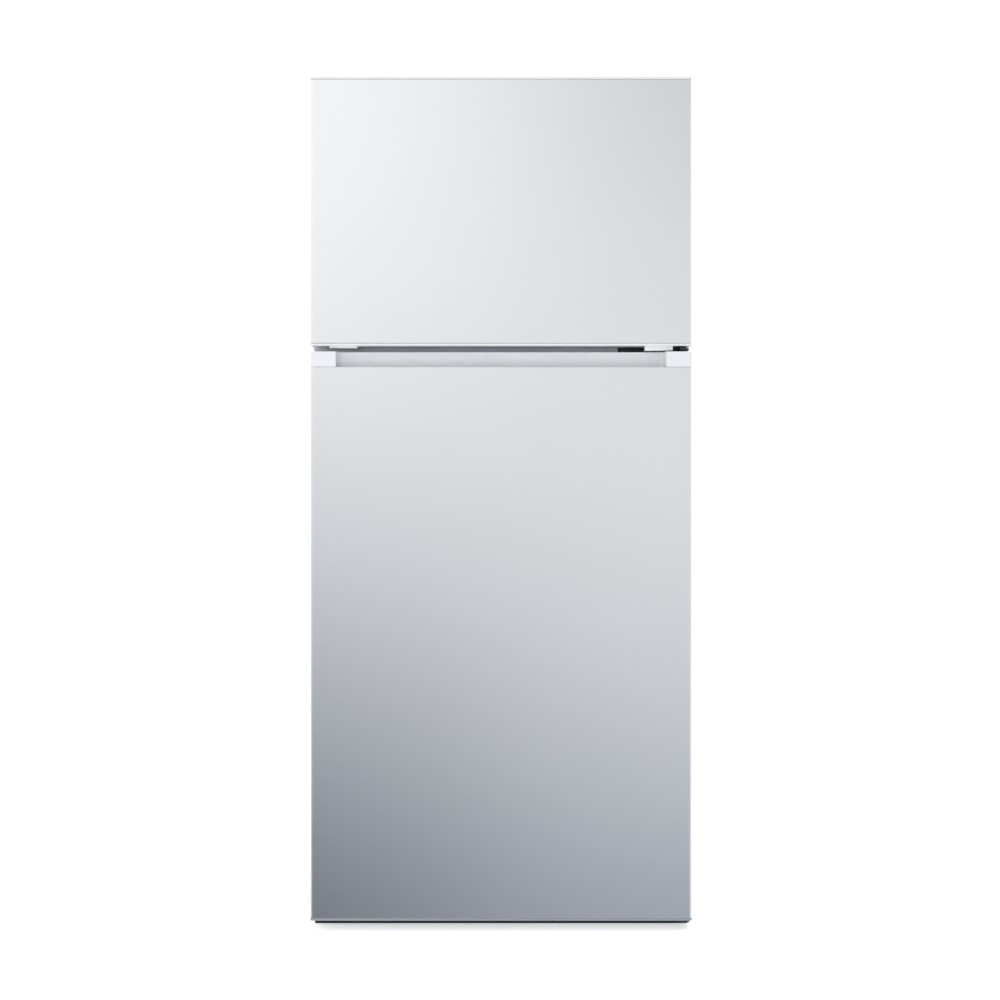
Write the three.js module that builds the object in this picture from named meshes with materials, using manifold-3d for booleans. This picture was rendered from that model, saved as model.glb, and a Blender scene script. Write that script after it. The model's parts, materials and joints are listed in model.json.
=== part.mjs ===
// Top freezer refrigerator, free-standing, 30 inch class, built of the pieces that it is made of.
// Millimetres. +Z is up, the doors face -Y and the hinges are at +X.
// The origin is on the floor, at the middle of the overall box.

import * as THREE from 'three';
import { mergeVertices } from 'three/addons/utils/BufferGeometryUtils.js';
import Module from 'manifold-3d';

const wasm = await Module();
wasm.setup();

// ---- Driving dimensions ----

const WIDTH = 750; // across the doors
const DEPTH = 740; // door faces to rear spacers
const HEIGHT = 1684; // floor to the top of the hinge cover

const GAP = 0.3; // between pieces that touch
const SHEET = 1.2; // cabinet steel
const DOOR_SHEET = 1; // door steel
const LINER = 2; // vacuum-formed liners

const DOOR_FRONT = -DEPTH / 2;
const DOOR_DEPTH = 62;
const DOOR_BACK = DOOR_FRONT + DOOR_DEPTH;
const DOOR_CORNER = 5; // radius of the bend at each front edge
const GASKET_DEPTH = 12;

const CABINET_HALF = WIDTH / 2 - 1;
const CABINET_FRONT = DOOR_BACK + GASKET_DEPTH;
const CABINET_BACK = 360;
const CABINET_BOTTOM = 26;
const CABINET_TOP = 1674;

const INSIDE_HALF = 330; // half the width between the side walls
const INSIDE_BACK = 300;
const FRIDGE_FLOOR = 85;
const FRIDGE_CEILING = 1118;
const FREEZER_FLOOR = 1170;
const FREEZER_CEILING = 1618;

// The step at the back of the fridge floor covers the compressor compartment, as [y, z] corners.
const STEP_LOW = [125, 215];
const STEP_HIGH = [200, 305];
const BAY_FRONT = 160;
const BAY_TOP = 270;

const FRIDGE_DOOR = { bottom: 20, skin: [24, 1108], top: 1138 };
const FREEZER_DOOR = { bottom: 1149.5, skin: [1153.5, 1673], top: 1678 };
const CAP_PLUG = 20; // how far an end cap reaches into its door

const HINGE_X = WIDTH / 2 - 13;
const HINGE_Y = DOOR_FRONT + 25;
const PIN_RADIUS = 4.5;
const PIN_HOLE = 5;
const HINGE_PLATE = 2.5;

const SHELF_LEVELS = [560, 820];
const CRISPER_LEVEL = 328;
const FREEZER_SHELF = 1394;
const SHELF_HALF_THICKNESS = 6;
const SHELF_FRONT = -152;
const SHELF_BACK = 278;

const FRIDGE_BINS = [345, 600, 852]; // heights of the bin floors
const FREEZER_BINS = [1206, 1420];
const BIN_HALF = 304;
const BIN_DEPTH = 110;
const BIN_HEIGHT = 92;
const BIN_WALL = 3;

const DYKE_HALF = 322; // the raised ring of a door liner
const DYKE_WIDTH = 16;
const DYKE_BACK = -275;

const DRAWER_WIDTH = 312;
const DRAWER_FRONT = -138;
const DRAWER_BACK = 120;
const DRAWER_TOP = 296;

const FOOT_X = 330;
const FOOT_Y = -255;
const ROLLER_X = 346;
const ROLLER_Y = 300;
const ROLLER_RADIUS = 18;

const FAN_Y = 283;
const FAN_Z = 1500;

// ---- Materials ----

const finish = (color, roughness, metalness = 0) =>
  new THREE.MeshStandardMaterial({ color, roughness, metalness });

const satinSteel = finish(0xd3d6da, 0.35, 0.9);
const paintedSteel = finish(0xc9ccd0, 0.5, 0.4);
const galvanised = finish(0xb4b8bb, 0.45, 0.9);
const blackSteel = finish(0x22252f, 0.45, 0.5);
const capPlastic = finish(0xe6e9ec, 0.4);
const greyCapPlastic = finish(0x8f949c, 0.45);
const linerPlastic = finish(0xf2f4f5, 0.35);
const blackPlastic = finish(0x1b1c1f, 0.55);
const clearPlastic = finish(0xdfe8ec, 0.12);
const glass = finish(0xcfe0dc, 0.05);
const foam = finish(0xe9dba6, 0.9);
const rubber = finish(0xb9bcbe, 0.7);
const blackRubber = finish(0x202022, 0.8);
const aluminium = finish(0xc8cbcd, 0.4, 1);
const copper = finish(0xb8734a, 0.35, 1);

// ---- Shape helpers ----

const both = (half) => [-half, half];

// A box between two limits on each axis.
function block(x, y, z) {
  const shape = new THREE.BoxGeometry(x[1] - x[0], y[1] - y[0], z[1] - z[0]);
  return shape.translate((x[0] + x[1]) / 2, (y[0] + y[1]) / 2, (z[0] + z[1]) / 2);
}

function polygon(points) {
  return new THREE.Shape(points.map(([a, b]) => new THREE.Vector2(a, b)));
}

function roundedRectangle(a, b, radius) {
  const shape = new THREE.Shape();
  shape.absarc(a[1] - radius, b[0] + radius, radius, -Math.PI / 2, 0);
  shape.absarc(a[1] - radius, b[1] - radius, radius, 0, Math.PI / 2);
  shape.absarc(a[0] + radius, b[1] - radius, radius, Math.PI / 2, Math.PI);
  shape.absarc(a[0] + radius, b[0] + radius, radius, Math.PI, 1.5 * Math.PI);
  return shape;
}

function extrude(shape, length) {
  return new THREE.ExtrudeGeometry(shape, { depth: length, bevelEnabled: false, curveSegments: 4 });
}

// An outline in X and Y, carried up Z.
function alongZ(shape, z) {
  return extrude(shape, z[1] - z[0]).translate(0, 0, z[0]);
}

// An outline in Y and Z, carried along X.
function alongX(shape, x) {
  const turn = new THREE.Matrix4().set(0, 0, 1, 0, 1, 0, 0, 0, 0, 1, 0, 0, 0, 0, 0, 1);
  return extrude(shape, x[1] - x[0]).applyMatrix4(turn).translate(x[0], 0, 0);
}

// A round bar along one axis, centred on the other two.
function bar(axis, radius, [low, high], [a, b], segments = 20) {
  const shape = new THREE.CylinderGeometry(radius, radius, high - low, segments);
  const middle = (low + high) / 2;
  if (axis === 'x') return shape.rotateZ(Math.PI / 2).translate(middle, a, b);
  if (axis === 'y') return shape.translate(a, middle, b);
  return shape.rotateX(Math.PI / 2).translate(a, b, middle);
}

// A profile of [radius, height] points turned about Z.
function turned(profile, segments = 24) {
  const points = profile.map(([radius, height]) => new THREE.Vector2(radius, height));
  return new THREE.LatheGeometry(points, segments).rotateX(Math.PI / 2);
}

// A geometry's triangles on shared corners, without the flat ones that a lathe leaves on its axis.
function welded(geometry) {
  const bare = geometry.clone();
  bare.deleteAttribute('normal');
  bare.deleteAttribute('uv');
  const shared = mergeVertices(bare, 1e-4);
  const old = shared.index.array;
  const triangles = [];
  for (let i = 0; i < old.length; i += 3) {
    const [a, b, c] = [old[i], old[i + 1], old[i + 2]];
    if (a !== b && b !== c && c !== a) triangles.push(a, b, c);
  }
  shared.setIndex(triangles);
  return shared;
}

function solid(geometry) {
  const mesh = welded(geometry);
  const vertProperties = Float32Array.from(mesh.attributes.position.array);
  const triVerts = Uint32Array.from(mesh.index.array);
  return new wasm.Manifold(new wasm.Mesh({ numProp: 3, vertProperties, triVerts }));
}

function geometryOf(manifold) {
  const { vertProperties, triVerts, numProp } = manifold.getMesh();
  const positions = [];
  for (let i = 0; i < vertProperties.length; i += numProp) {
    positions.push(vertProperties[i], vertProperties[i + 1], vertProperties[i + 2]);
  }
  const geometry = new THREE.BufferGeometry();
  geometry.setAttribute('position', new THREE.Float32BufferAttribute(positions, 3));
  geometry.setIndex(Array.from(triVerts));
  geometry.computeVertexNormals();
  return geometry;
}

function join(...pieces) {
  return geometryOf(pieces.map(solid).reduce((sum, piece) => sum.add(piece)));
}

function cut(base, ...tools) {
  return geometryOf(tools.map(solid).reduce((left, tool) => left.subtract(tool), solid(base)));
}

// A box with a wall all round and one face left open: a tray, bin or cover.
function tray(x, y, z, wall, open = 'top') {
  const inner = [
    [x[0] + wall, x[1] - wall],
    [y[0] + wall, y[1] - wall],
    [z[0] + wall, z[1] - wall],
  ];
  if (open === 'top') inner[2][1] = z[1] + 1;
  if (open === 'bottom') inner[2][0] = z[0] - 1;
  if (open === 'back') inner[1][1] = y[1] + 1;
  return cut(block(x, y, z), block(...inner));
}

// A rectangular ring, seen along Y.
function ring(x, y, z, width) {
  const hole = [[x[0] + width, x[1] - width], [y[0] - 1, y[1] + 1], [z[0] + width, z[1] - width]];
  return cut(block(x, y, z), block(...hole));
}

function part(name, geometry, material, place = [0, 0, 0]) {
  const mesh = new THREE.Mesh(welded(geometry), material);
  mesh.geometry.computeVertexNormals();
  mesh.name = name;
  mesh.position.set(...place);
  return mesh;
}

function assembly(...members) {
  const group = new THREE.Group();
  group.add(...members);
  return group;
}

// ---- Cabinet ----

// The fridge cavity seen from the side, pushed out into the walls by grow.
function fridgeProfile(grow, front) {
  const [lowY, lowZ] = STEP_LOW;
  const [highY, highZ] = STEP_HIGH;
  const run = Math.hypot(highY - lowY, highZ - lowZ);
  const lean = (run - (highZ - lowZ)) / (highY - lowY);
  const fall = (run - (highY - lowY)) / (highZ - lowZ);
  return polygon([
    [front, FRIDGE_FLOOR - grow],
    [lowY + grow, FRIDGE_FLOOR - grow],
    [lowY + grow, lowZ - grow * lean],
    [highY + grow * fall, highZ - grow],
    [INSIDE_BACK + grow, highZ - grow],
    [INSIDE_BACK + grow, FRIDGE_CEILING + grow],
    [front, FRIDGE_CEILING + grow],
  ]);
}

function fridgeSpace(grow, front) {
  return alongX(fridgeProfile(grow, front), both(INSIDE_HALF + grow));
}

function freezerSpace(grow, front) {
  const z = [FREEZER_FLOOR - grow, FREEZER_CEILING + grow];
  return block(both(INSIDE_HALF + grow), [front, INSIDE_BACK + grow], z);
}

// Sides and top in one wrapper, with the flange round the doorway that the gaskets seal against.
function cabinetShell() {
  const margin = LINER + GAP;
  const outer = block(both(CABINET_HALF), [CABINET_FRONT, CABINET_BACK], [CABINET_BOTTOM, CABINET_TOP]);
  const inside = block(
    both(CABINET_HALF - SHEET),
    [CABINET_FRONT + SHEET, CABINET_BACK + 1],
    [CABINET_BOTTOM - 1, CABINET_TOP - SHEET],
  );
  const doorway = block(
    both(INSIDE_HALF + margin),
    [CABINET_FRONT - 1, CABINET_FRONT + SHEET + 1],
    [FRIDGE_FLOOR - margin, FREEZER_CEILING + margin],
  );
  return cut(outer, inside, doorway);
}

function cabinetFoam() {
  const skin = SHEET + GAP;
  const floor = CABINET_BOTTOM + skin + GAP;
  const margin = LINER + GAP;
  const side = polygon([
    [CABINET_FRONT + skin, floor],
    [BAY_FRONT, floor],
    [BAY_FRONT, BAY_TOP - 80],
    [BAY_FRONT + 70, BAY_TOP],
    [CABINET_BACK, BAY_TOP],
    [CABINET_BACK, CABINET_TOP - skin],
    [CABINET_FRONT + skin, CABINET_TOP - skin],
  ]);
  const pockets = [-FOOT_X, FOOT_X].map((x) => bar('z', 8, [floor - 1, 60], [x, FOOT_Y], 12));
  return cut(
    alongX(side, both(CABINET_HALF - skin)),
    fridgeSpace(margin, CABINET_FRONT - 1),
    freezerSpace(margin, CABINET_FRONT - 1),
    ...pockets,
  );
}

// The moulded ledges on both side walls that a shelf rests on, with their tops at one height.
function ledges(top, back) {
  const y = [SHELF_FRONT + 12, back];
  const z = [top - 8, top];
  return [
    block([INSIDE_HALF - 8, INSIDE_HALF + 0.5], y, z),
    block([-INSIDE_HALF - 0.5, 8 - INSIDE_HALF], y, z),
  ];
}

function freshFoodLiner() {
  const shell = cut(fridgeSpace(LINER, CABINET_FRONT), fridgeSpace(0, CABINET_FRONT - 1));
  const tops = [CRISPER_LEVEL, ...SHELF_LEVELS].map((level) => level - SHELF_HALF_THICKNESS - GAP);
  return join(shell, ...tops.flatMap((top) => ledges(top, SHELF_BACK - 8)));
}

function freezerLiner() {
  const shell = cut(freezerSpace(LINER, CABINET_FRONT), freezerSpace(0, CABINET_FRONT - 1));
  return join(shell, ...ledges(FREEZER_SHELF - 3 - GAP, 250));
}

// The steel strip that closes the front of the divider between the two compartments.
function mullionRail() {
  const margin = LINER + 2 * GAP;
  const z = [FRIDGE_CEILING + margin, FREEZER_FLOOR - margin];
  return block(both(INSIDE_HALF + LINER), [CABINET_FRONT, CABINET_FRONT + SHEET], z);
}

function bottomPlate() {
  const inset = SHEET + GAP;
  const y = [CABINET_FRONT + inset, BAY_FRONT - 2];
  const plate = block(both(CABINET_HALF - inset), y, [CABINET_BOTTOM, CABINET_BOTTOM + 1.5]);
  const holes = [-FOOT_X, FOOT_X].map((x) =>
    bar('z', 6, [CABINET_BOTTOM - 1, CABINET_BOTTOM + 3], [x, FOOT_Y], 16));
  return cut(plate, ...holes);
}

function kickPlate() {
  const face = CABINET_FRONT - 7;
  const angle = polygon([
    [face, 2],
    [face + 2.5, 2],
    [face + 2.5, 21],
    [face + 26, 21],
    [face + 26, 23.5],
    [face, 23.5],
  ]);
  const notch = block([HINGE_X - 20, CABINET_HALF], [face - 1, face + 10], [11, 25]);
  return cut(alongX(angle, both(CABINET_HALF - 3)), notch);
}

function rearPanel() {
  return block(both(CABINET_HALF), [CABINET_BACK + GAP, CABINET_BACK + GAP + 1.2], [268, CABINET_TOP]);
}

// ---- Compressor compartment ----

// A plate across the compartment with four ears that the roller stubs turn in.
function compressorBase() {
  const plate = block(both(CABINET_HALF - 2), [BAY_FRONT + 10, 355], [CABINET_BOTTOM, CABINET_BOTTOM + 2]);
  const ears = [];
  const openings = [];
  for (const side of [-1, 1]) {
    const x = side * ROLLER_X;
    for (const ear of [-1, 1]) {
      const centre = x + ear * 11.3;
      const z = [11, CABINET_BOTTOM + 1];
      ears.push(block([centre - 1.5, centre + 1.5], [ROLLER_Y - 9, ROLLER_Y + 9], z));
    }
    const y = [ROLLER_Y - ROLLER_RADIUS - 2, ROLLER_Y + ROLLER_RADIUS + 2];
    openings.push(block([x - 9.8, x + 9.8], y, [CABINET_BOTTOM - 1, CABINET_BOTTOM + 3]));
    openings.push(bar('x', 3.5, [x - 16, x + 16], [ROLLER_Y, ROLLER_RADIUS], 12));
  }
  return cut(join(plate, ...ears), ...openings);
}

function compressor() {
  const can = turned([
    [0, 8], [60, 8], [76, 20], [80, 60], [80, 76], [84, 78], [84, 84],
    [80, 86], [77, 118], [62, 146], [34, 157], [0, 160],
  ]);
  const stand = block(both(98), both(52), [8, 11]);
  const feet = [-1, 1].flatMap((a) => [-1, 1].map((b) => bar('z', 11, [0, 9], [a * 86, b * 40], 12)));
  const terminals = block([60, 104], both(24), [60, 108]);
  return join(can, stand, terminals, ...feet);
}

function drainPan() {
  return tray(both(150), both(78), [0, 36], 2);
}

function filterDrier() {
  return turned([[0, 0], [3, 0], [3, 10], [9, 20], [9, 92], [3, 102], [3, 112], [0, 112]], 16);
}

const GLAND = { x: -310, z: 74, radius: 12 };

// The louvred cover over the compartment, with the hole for the supply gland.
function rearCover() {
  const plate = block(both(CABINET_HALF - 2.5), [358, 359.2], [31, 266]);
  const openings = [bar('y', GLAND.radius + 1, [350, 365], [GLAND.x, GLAND.z], 20)];
  for (const x of [-200, 0, 200]) {
    for (let row = 0; row < 6; row += 1) {
      const z = 90 + row * 26;
      openings.push(block([x - 70, x + 70], [350, 365], [z, z + 7]));
    }
  }
  return cut(plate, ...openings);
}

function supplyGland() {
  const profile = [[5, -4], [12, -4], [12, 0], [19, 0], [19, 2.5], [11, 7], [5, 7], [5, -4]];
  return turned(profile, 20).rotateX(-Math.PI / 2);
}

// ---- Inside the cabinet ----

const SHELF_RIM = 14;
const SHELF_RABBET = 6;
const DIVIDER_HALF = 8;

// A shelf rim with a rabbet for its glass. The crispers' one also has a divider from front to back.
function shelfFrame(level, divided = false) {
  const half = INSIDE_HALF - 8;
  const z = [level - SHELF_HALF_THICKNESS, level + SHELF_HALF_THICKNESS];
  const inside = (inset) => [SHELF_FRONT + inset, SHELF_BACK - inset];
  const outer = block(both(half), inside(0), z);
  const window = block(both(half - SHELF_RIM), inside(SHELF_RIM), [z[0] - 1, z[1] + 1]);
  const seat = block(both(half - SHELF_RABBET), inside(SHELF_RABBET), [level, z[1] + 1]);
  const frame = cut(outer, window, seat);
  if (!divided) return frame;
  return join(frame, block(both(DIVIDER_HALF), inside(SHELF_RIM - 1), [z[0], level]));
}

function shelfGlass(level) {
  const half = INSIDE_HALF - 8 - SHELF_RABBET - GAP;
  const y = [SHELF_FRONT + SHELF_RABBET + GAP, SHELF_BACK - SHELF_RABBET - GAP];
  return block(both(half), y, [level + GAP, level + GAP + 4]);
}

function freezerShelf() {
  const y = [SHELF_FRONT, 256];
  return alongZ(roundedRectangle(both(INSIDE_HALF - 2), y, 8), [FREEZER_SHELF - 3, FREEZER_SHELF + 3]);
}

function evaporatorCover() {
  const plate = block(both(INSIDE_HALF - 2), [262, 265], [FREEZER_FLOOR + 2, FREEZER_CEILING - 2]);
  const slots = [];
  for (let row = -2; row <= 2; row += 1) {
    const half = 46 - 6 * Math.abs(row);
    slots.push(block(both(half), [260, 267], [FAN_Z + row * 16 - 4, FAN_Z + row * 16 + 4]));
  }
  for (let column = -3; column <= 3; column += 1) {
    slots.push(block([column * 80 - 28, column * 80 + 28], [260, 267], [1184, 1192]));
  }
  return cut(plate, ...slots);
}

function evaporator() {
  const core = block(both(236), [278, 290], [1196, 1392]);
  const fins = [];
  for (let i = -7; i <= 7; i += 1) {
    fins.push(block([i * 33 - 1, i * 33 + 1], [270, 296], [1190, 1398]));
  }
  return join(core, ...fins);
}

// An axial fan with its shaft along Y, drawn about its own centre.
function evaporatorFan() {
  const hub = bar('y', 15, [-9, 8], [0, 0], 20);
  const blades = [];
  for (let i = 0; i < 5; i += 1) {
    const blade = block([12, 44], [-1, 1], both(11)).rotateX(0.6).rotateY((i * 2 * Math.PI) / 5);
    blades.push(blade);
  }
  return join(hub, ...blades);
}

function airDuctCover() {
  const z = [420, 1060];
  const cover = tray(both(72), [284, INSIDE_BACK - GAP], z, 2.5, 'back');
  const vents = [];
  for (const level of [470, 660, 700, 930, 970]) {
    vents.push(block(both(46), [280, 288], [level, level + 10]));
  }
  return cut(cover, ...vents);
}

const CONTROL = { half: 150, front: -120, back: 90, bottom: 1080, axisZ: 1099 };
const KNOB_X = 88;
const SLIDER_X = -62;

function controlHousing() {
  const y = [CONTROL.front, CONTROL.back];
  const z = [CONTROL.bottom, FRIDGE_CEILING - GAP];
  const shell = tray(both(CONTROL.half), y, z, 3, 'top');
  const knobHole = bar('y', 4.6, [CONTROL.front - 2, CONTROL.front + 6], [KNOB_X, CONTROL.axisZ], 16);
  const slot = block(
    [SLIDER_X - 20, SLIDER_X + 20],
    [CONTROL.front - 2, CONTROL.front + 6],
    [CONTROL.axisZ - 3, CONTROL.axisZ + 3],
  );
  return cut(shell, knobHole, slot);
}

// Both controls are drawn about the point where they meet the housing's front face.
function temperatureKnob() {
  const dial = bar('y', 17, [-15, -GAP], [0, 0], 24);
  const grip = block(both(3), [-19, -14], both(15));
  const shaft = bar('y', 4, [-1, 7], [0, 0], 12);
  return join(dial, grip, shaft);
}

function airflowSlider() {
  return join(block(both(6), [-7, -GAP], both(9)), block(both(4), [-1, 7], both(2.5)));
}

function lampLens() {
  const z = [CONTROL.bottom - 12, CONTROL.bottom - GAP];
  return alongZ(roundedRectangle(both(78), [-62, 50], 10), z);
}

const SWITCH = { x: -250, z: 1099, front: -262 };

function doorSwitchHousing() {
  const x = [SWITCH.x - 13, SWITCH.x + 13];
  const body = block(x, [SWITCH.front, -222], [1088, FRIDGE_CEILING - GAP]);
  return cut(body, bar('y', 4.6, [SWITCH.front - 1, -232], [SWITCH.x, SWITCH.z], 16));
}

// Pressed in by the raised ring of the closed door.
function doorSwitchPlunger() {
  return bar('y', 4, [DYKE_BACK + GAP, -244], [SWITCH.x, SWITCH.z], 12);
}

// A crisper drawer, drawn about its own middle plane.
function crisperDrawer() {
  const half = DRAWER_WIDTH / 2;
  const bottom = FRIDGE_FLOOR + 1;
  const body = tray(both(half), [DRAWER_FRONT + 4, DRAWER_BACK], [bottom, DRAWER_TOP - 8], 2.5);
  const front = block(both(half), [DRAWER_FRONT, DRAWER_FRONT + 5], [bottom, DRAWER_TOP]);
  const pull = block(both(half - 20), [DRAWER_FRONT, DRAWER_FRONT + 20], [DRAWER_TOP - 4, DRAWER_TOP]);
  return join(body, front, pull);
}

// ---- Feet and rollers ----

function levellingFoot() {
  return turned([[0, 0], [18, 0], [18, 5], [9, 9], [9, 13], [5, 13], [5, 52], [0, 52]], 20);
}

function rearRoller() {
  const profile = [
    [0, -14], [3, -14], [3, -9], [16.5, -9], [ROLLER_RADIUS, -7.5],
    [ROLLER_RADIUS, 7.5], [16.5, 9], [3, 9], [3, 14], [0, 14],
  ];
  return turned(profile, 24).rotateY(Math.PI / 2);
}

// ---- Hinges ----

// A flat arm from y back to the pin, rounded about the pin.
function hingeArm(back, z) {
  const arm = block(both(10).map((x) => HINGE_X + x), [HINGE_Y, back], z);
  return [arm, bar('z', 10, z, [HINGE_X, HINGE_Y], 20)];
}

function topHinge() {
  const z = [CABINET_TOP + GAP, CABINET_TOP + GAP + HINGE_PLATE];
  const plate = block([HINGE_X - 26, HINGE_X + 9], [CABINET_FRONT + 6, -205], z);
  const pin = bar('z', PIN_RADIUS, [FREEZER_DOOR.skin[1] - 17, z[1]], [HINGE_X, HINGE_Y]);
  return join(...hingeArm(CABINET_FRONT + 10, z), plate, pin);
}

function topHingeCover() {
  const x = [HINGE_X - 32, HINGE_X + 11.5];
  const z = [CABINET_TOP + GAP, HEIGHT];
  const cover = tray(x, [CABINET_FRONT - 5, -196], z, 1.5, 'bottom');
  const slot = block([HINGE_X - 11, HINGE_X + 12.5], [CABINET_FRONT - 6, CABINET_FRONT + 1], [z[0] - 1, z[0] + 3.2]);
  return cut(cover, slot);
}

// A flange on the divider and an arm between the doors, with one pin up and down.
function midHinge() {
  const arm = [1142.5, 1145.5];
  const y = [CABINET_FRONT - 3.3, CABINET_FRONT - GAP];
  const flange = block([HINGE_X - 129, HINGE_X - 4], y, [1133, 1155]);
  const pin = bar('z', PIN_RADIUS, [1122, 1166], [HINGE_X, HINGE_Y]);
  return join(flange, ...hingeArm(CABINET_FRONT - GAP, arm), pin);
}

function bottomHinge() {
  const arm = [13, 16];
  const y = [CABINET_FRONT - 3.3, CABINET_FRONT - GAP];
  const flange = block([HINGE_X - 16, HINGE_X + 10], y, [13, 62]);
  const pin = bar('z', PIN_RADIUS, [arm[0], 37], [HINGE_X, HINGE_Y]);
  return join(flange, ...hingeArm(CABINET_FRONT - GAP, arm), pin);
}

function pinHole(z) {
  return bar('z', PIN_HOLE, z, [HINGE_X, HINGE_Y]);
}

// ---- Doors ----

// A door seen from above, inset all round, with rounded front corners.
function doorOutline(inset, back) {
  const half = WIDTH / 2 - inset;
  const front = DOOR_FRONT + inset;
  const radius = DOOR_CORNER - inset;
  const shape = new THREE.Shape();
  shape.moveTo(-half, back);
  shape.lineTo(-half, front + radius);
  shape.absarc(radius - half, front + radius, radius, Math.PI, 1.5 * Math.PI);
  shape.absarc(half - radius, front + radius, radius, 1.5 * Math.PI, 2 * Math.PI);
  shape.lineTo(half, back);
  return shape;
}

// The steel front with its two folded sides.
function doorSkin(door) {
  const z = [door.skin[0] + GAP, door.skin[1] - GAP];
  const inside = alongZ(doorOutline(DOOR_SHEET, DOOR_BACK + 1), [z[0] - 1, z[1] + 1]);
  return cut(alongZ(doorOutline(0, DOOR_BACK - 2), z), inside);
}

function capPlug(z) {
  return alongZ(doorOutline(DOOR_SHEET + GAP, DOOR_BACK - 2), z);
}

function capPlate(z) {
  return alongZ(doorOutline(0, DOOR_BACK), z);
}

function doorFoam(z) {
  return capPlug([z[0] + GAP, z[1] - GAP]);
}

function fridgeBottomCap() {
  const seam = FRIDGE_DOOR.skin[0];
  const cap = join(capPlate([FRIDGE_DOOR.bottom, seam]), capPlug([seam - 1, seam + CAP_PLUG]));
  return cut(cap, pinHole([FRIDGE_DOOR.bottom - 1, 39]));
}

const GRIP = { half: 325, slant: 14, back: -344, floor: 1087, plug: 1083 };

// The finger recess seen from above: straight at the back, with ends that curve in.
function gripOutline(front) {
  const shape = new THREE.Shape();
  shape.moveTo(-GRIP.half, front);
  shape.lineTo(GRIP.half, front);
  shape.quadraticCurveTo(GRIP.half - 2, GRIP.back, GRIP.half - GRIP.slant, GRIP.back);
  shape.lineTo(GRIP.slant - GRIP.half, GRIP.back);
  shape.quadraticCurveTo(2 - GRIP.half, GRIP.back, -GRIP.half, front);
  return shape;
}

// The upper end cap of the fridge door holds the recess, which runs down behind the steel edge.
function fridgeTopCap() {
  const seam = FRIDGE_DOOR.skin[1];
  const cap = join(capPlate([seam, FRIDGE_DOOR.top]), capPlug([GRIP.plug, seam + 1]));
  return cut(
    cap,
    alongZ(gripOutline(DOOR_FRONT - 1), [seam, FRIDGE_DOOR.top + 1]),
    alongZ(gripOutline(DOOR_FRONT + 4), [GRIP.floor, seam + 1]),
    pinHole([1120, FRIDGE_DOOR.top + 1]),
  );
}

// The lower end cap of the freezer door has a deep stop at the hinge end and a shallow one at the other.
function freezerBottomCap() {
  const seam = FREEZER_DOOR.skin[0];
  const low = FREEZER_DOOR.bottom;
  const x = [WIDTH / 2 - 92, WIDTH / 2 - 37];
  const y = [DOOR_FRONT + 8, DOOR_FRONT + 35];
  const deepStop = block(x, y, [low - 9, low + 1]);
  const shallowStop = block([-x[1], -x[0]], y, [low - 4, low + 1]);
  const cap = join(capPlate([low, seam]), capPlug([seam - 1, seam + CAP_PLUG - 4]), deepStop, shallowStop);
  return cut(cap, pinHole([low - 1, 1167.5]));
}

function freezerTopCap() {
  const seam = FREEZER_DOOR.skin[1];
  const cap = join(capPlate([seam, FREEZER_DOOR.top]), capPlug([seam - CAP_PLUG, seam + 1]));
  const recess = block(
    [HINGE_X - 11, WIDTH / 2 + 1],
    [HINGE_Y - 20, DOOR_BACK + 1],
    [seam + 0.7, FREEZER_DOOR.top + 1],
  );
  return cut(cap, recess, pinHole([seam - 18.5, FREEZER_DOOR.top]));
}

// The liner plate, its raised ring and a lug under each end of each bin.
function doorLiner(plate, dyke, bins) {
  const y = [DOOR_BACK - 1.7, DOOR_BACK + GAP];
  const sheet = block(both(WIDTH / 2 - 0.5), y, [plate[0] + GAP, plate[1] - GAP]);
  const raised = ring(both(DYKE_HALF), [DOOR_BACK - 1, DYKE_BACK], dyke, DYKE_WIDTH);
  const inner = DYKE_HALF - DYKE_WIDTH;
  const lugs = bins.flatMap((floor) => [-1, 1].map((side) => {
    const x = [side * (inner - 9), side * (inner + 0.5)].sort((a, b) => a - b);
    return block(x, [DOOR_BACK + 6, DOOR_BACK + 26], [floor - 10, floor - GAP]);
  }));
  return join(sheet, raised, ...lugs);
}

function gasket(z) {
  return ring(both(350), [DOOR_BACK + 2 * GAP, CABINET_FRONT - GAP], z, 14);
}

function doorBin() {
  const y = [DOOR_BACK + 2, DOOR_BACK + 2 + BIN_DEPTH];
  return tray(both(BIN_HALF), y, [0, BIN_HEIGHT], BIN_WALL);
}

function bins(prefix, floors) {
  return floors.map((floor, i) => part(`${prefix}_bin_${i + 1}`, doorBin(), clearPlastic, [0, 0, floor]));
}

// ---- Assembly ----

const cabinet = assembly(
  part('cabinet_shell', cabinetShell(), paintedSteel),
  part('foam_insulation', cabinetFoam(), foam),
  part('fresh_food_liner', freshFoodLiner(), linerPlastic),
  part('freezer_liner', freezerLiner(), linerPlastic),
  part('mullion_rail', mullionRail(), paintedSteel),
  part('bottom_plate', bottomPlate(), galvanised),
  part('kick_plate', kickPlate(), blackPlastic),
  part('rear_panel', rearPanel(), galvanised),
  part('top_hinge', topHinge(), galvanised),
  part('top_hinge_cover', topHingeCover(), capPlastic),
  part('mid_hinge', midHinge(), blackSteel),
  part('bottom_hinge', bottomHinge(), blackSteel),
);

const bay = assembly(
  part('compressor_base', compressorBase(), galvanised),
  part('compressor', compressor(), blackSteel, [110, 262, CABINET_BOTTOM + 2 + GAP]),
  part('drain_pan', drainPan(), blackPlastic, [-175, 262, CABINET_BOTTOM + 2 + GAP]),
  part('filter_drier', filterDrier(), copper, [262, 200, 70]),
  part('rear_cover', rearCover(), galvanised),
  part('supply_gland', supplyGland(), blackRubber, [GLAND.x, 359.5, GLAND.z]),
);

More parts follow.
